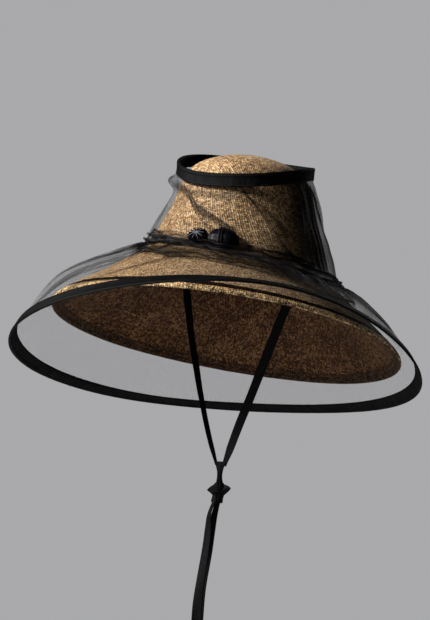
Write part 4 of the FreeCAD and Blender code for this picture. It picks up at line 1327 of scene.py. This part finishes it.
ros = join("sash_rosette_satin", [rosette_layer("r1", 1.0, 18, 2.6, 0.0, 5.2), rosette_layer("r2", 0.72, 14, 2.4, 0.7, 7.0)])
finish_piece(ros, "veil", "satin_ornament", mat_knot, "sash_rosette")

# pale stitched rays over the rosette
verts, faces = [], []
for k in range(9):
    a = TAU * k / 9 + 0.17
    tip = 0.93 if k % 2 else 0.8
    pts = []
    for q_ in np.linspace(0.06, tip, 9):
        pts.append(rc + math.cos(a) * q_ * 12.4 * rt + math.sin(a) * q_ * 8.6 * ru + (7.0 + 2.7 * (1 - q_ ** 2) + (1.6 if q_ < 0.7 else 1.6 - 5 * (q_ - 0.7))) * ro)
    pts = np.array(pts)
    tan = unit(np.gradient(pts, axis=0))
    sd = unit(np.cross(tan, ro))
    nn = np.cross(sd, tan)
    b0 = len(verts)
    for i in range(len(pts)):
        r_ = 0.24 * (1 - 0.35 * i / 8)
        for j in range(6):
            an = j / 6 * TAU
            verts.append(tuple((pts[i] + sd[i] * r_ * math.cos(an) + nn[i] * r_ * math.sin(an)) * MM))
    for i in range(len(pts) - 1):
        for j in range(6):
            j2 = (j + 1) % 6
            faces.append((b0 + i * 6 + j, b0 + i * 6 + j2, b0 + (i + 1) * 6 + j2, b0 + (i + 1) * 6 + j))
    faces.append(tuple(b0 + j for j in range(6))[::-1])
    faces.append(tuple(b0 + 8 * 6 + j for j in range(6)))
me = bpy.data.meshes.new("rosette_rays")
me.from_pydata(verts, [], faces)
for p in me.polygons:
    p.use_smooth = True
rays = bpy.data.objects.new("rosette_rays", me)
bpy.context.scene.collection.objects.link(rays)
me.materials.append(mat_thread)
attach(rays, "veil")

# ------------------------------------------------------------------ floor, light
def plain(name, color, rough):
    m = Mat(name, color, rough)
    n = m.noise(m.pos(), 3.0, 2.0)
    m.color(m.ramp(n, [(0.3, tuple(c * 0.97 for c in color)), (0.7, tuple(c * 1.03 for c in color))]))
    return m.m


FLOOR_Z = CAD_BOX[0][2] - 0.10
bpy.ops.mesh.primitive_circle_add(vertices=96, radius=1.55, fill_type="NGON", location=(0, 0, FLOOR_Z))
floor = bpy.context.object
floor.name = "floor"
floor.data.materials.append(plain("studio_floor", (0.55, 0.55, 0.56), 0.8))

world = bpy.data.worlds.new("studio")
bpy.context.scene.world = world
world.use_nodes = True
wn = world.node_tree
bg = wn.nodes["Background"]
lp = wn.nodes.new("ShaderNodeLightPath")
mixc = wn.nodes.new("ShaderNodeMix")
mixc.data_type = "RGBA"
wn.links.new(lp.outputs["Is Camera Ray"], mixc.inputs[0])
mixc.inputs[6].default_value = (0.026, 0.026, 0.028, 1)
mixc.inputs[7].default_value = (0.40, 0.40, 0.41, 1)
wn.links.new(mixc.outputs[2], bg.inputs[0])


def area(name, where, size, power, color=(1, 1, 1)):
    l = bpy.data.lights.new(name, "AREA")
    l.shape = "DISK"
    l.size = size
    l.energy = power
    l.color = color
    o = bpy.data.objects.new(name, l)
    bpy.context.scene.collection.objects.link(o)
    o.location = where
    o.rotation_euler = (Vector((0, 0, 0)) - Vector(where)).to_track_quat("-Z", "Y").to_euler()
    return o


flat_back = Vector((back.x, back.y, 0)).normalized()
key_dir = flat_back * 0.30 - right * 0.92 + Vector((0, 0, 0.47))
area("key", key_dir.normalized() * 2.0, 0.5, 88, (1.0, 0.97, 0.94))
area("fill", (flat_back * 1.7 - right * 0.5 + Vector((0, 0, 0.5))), 1.6, 1.6)
area("rim", (-flat_back * 1.6 + right * 0.9 + Vector((0, 0, 1.0))), 0.8, 2.0)

try:
    bpy.context.scene.view_settings.view_transform = "Standard"
except TypeError:
    pass
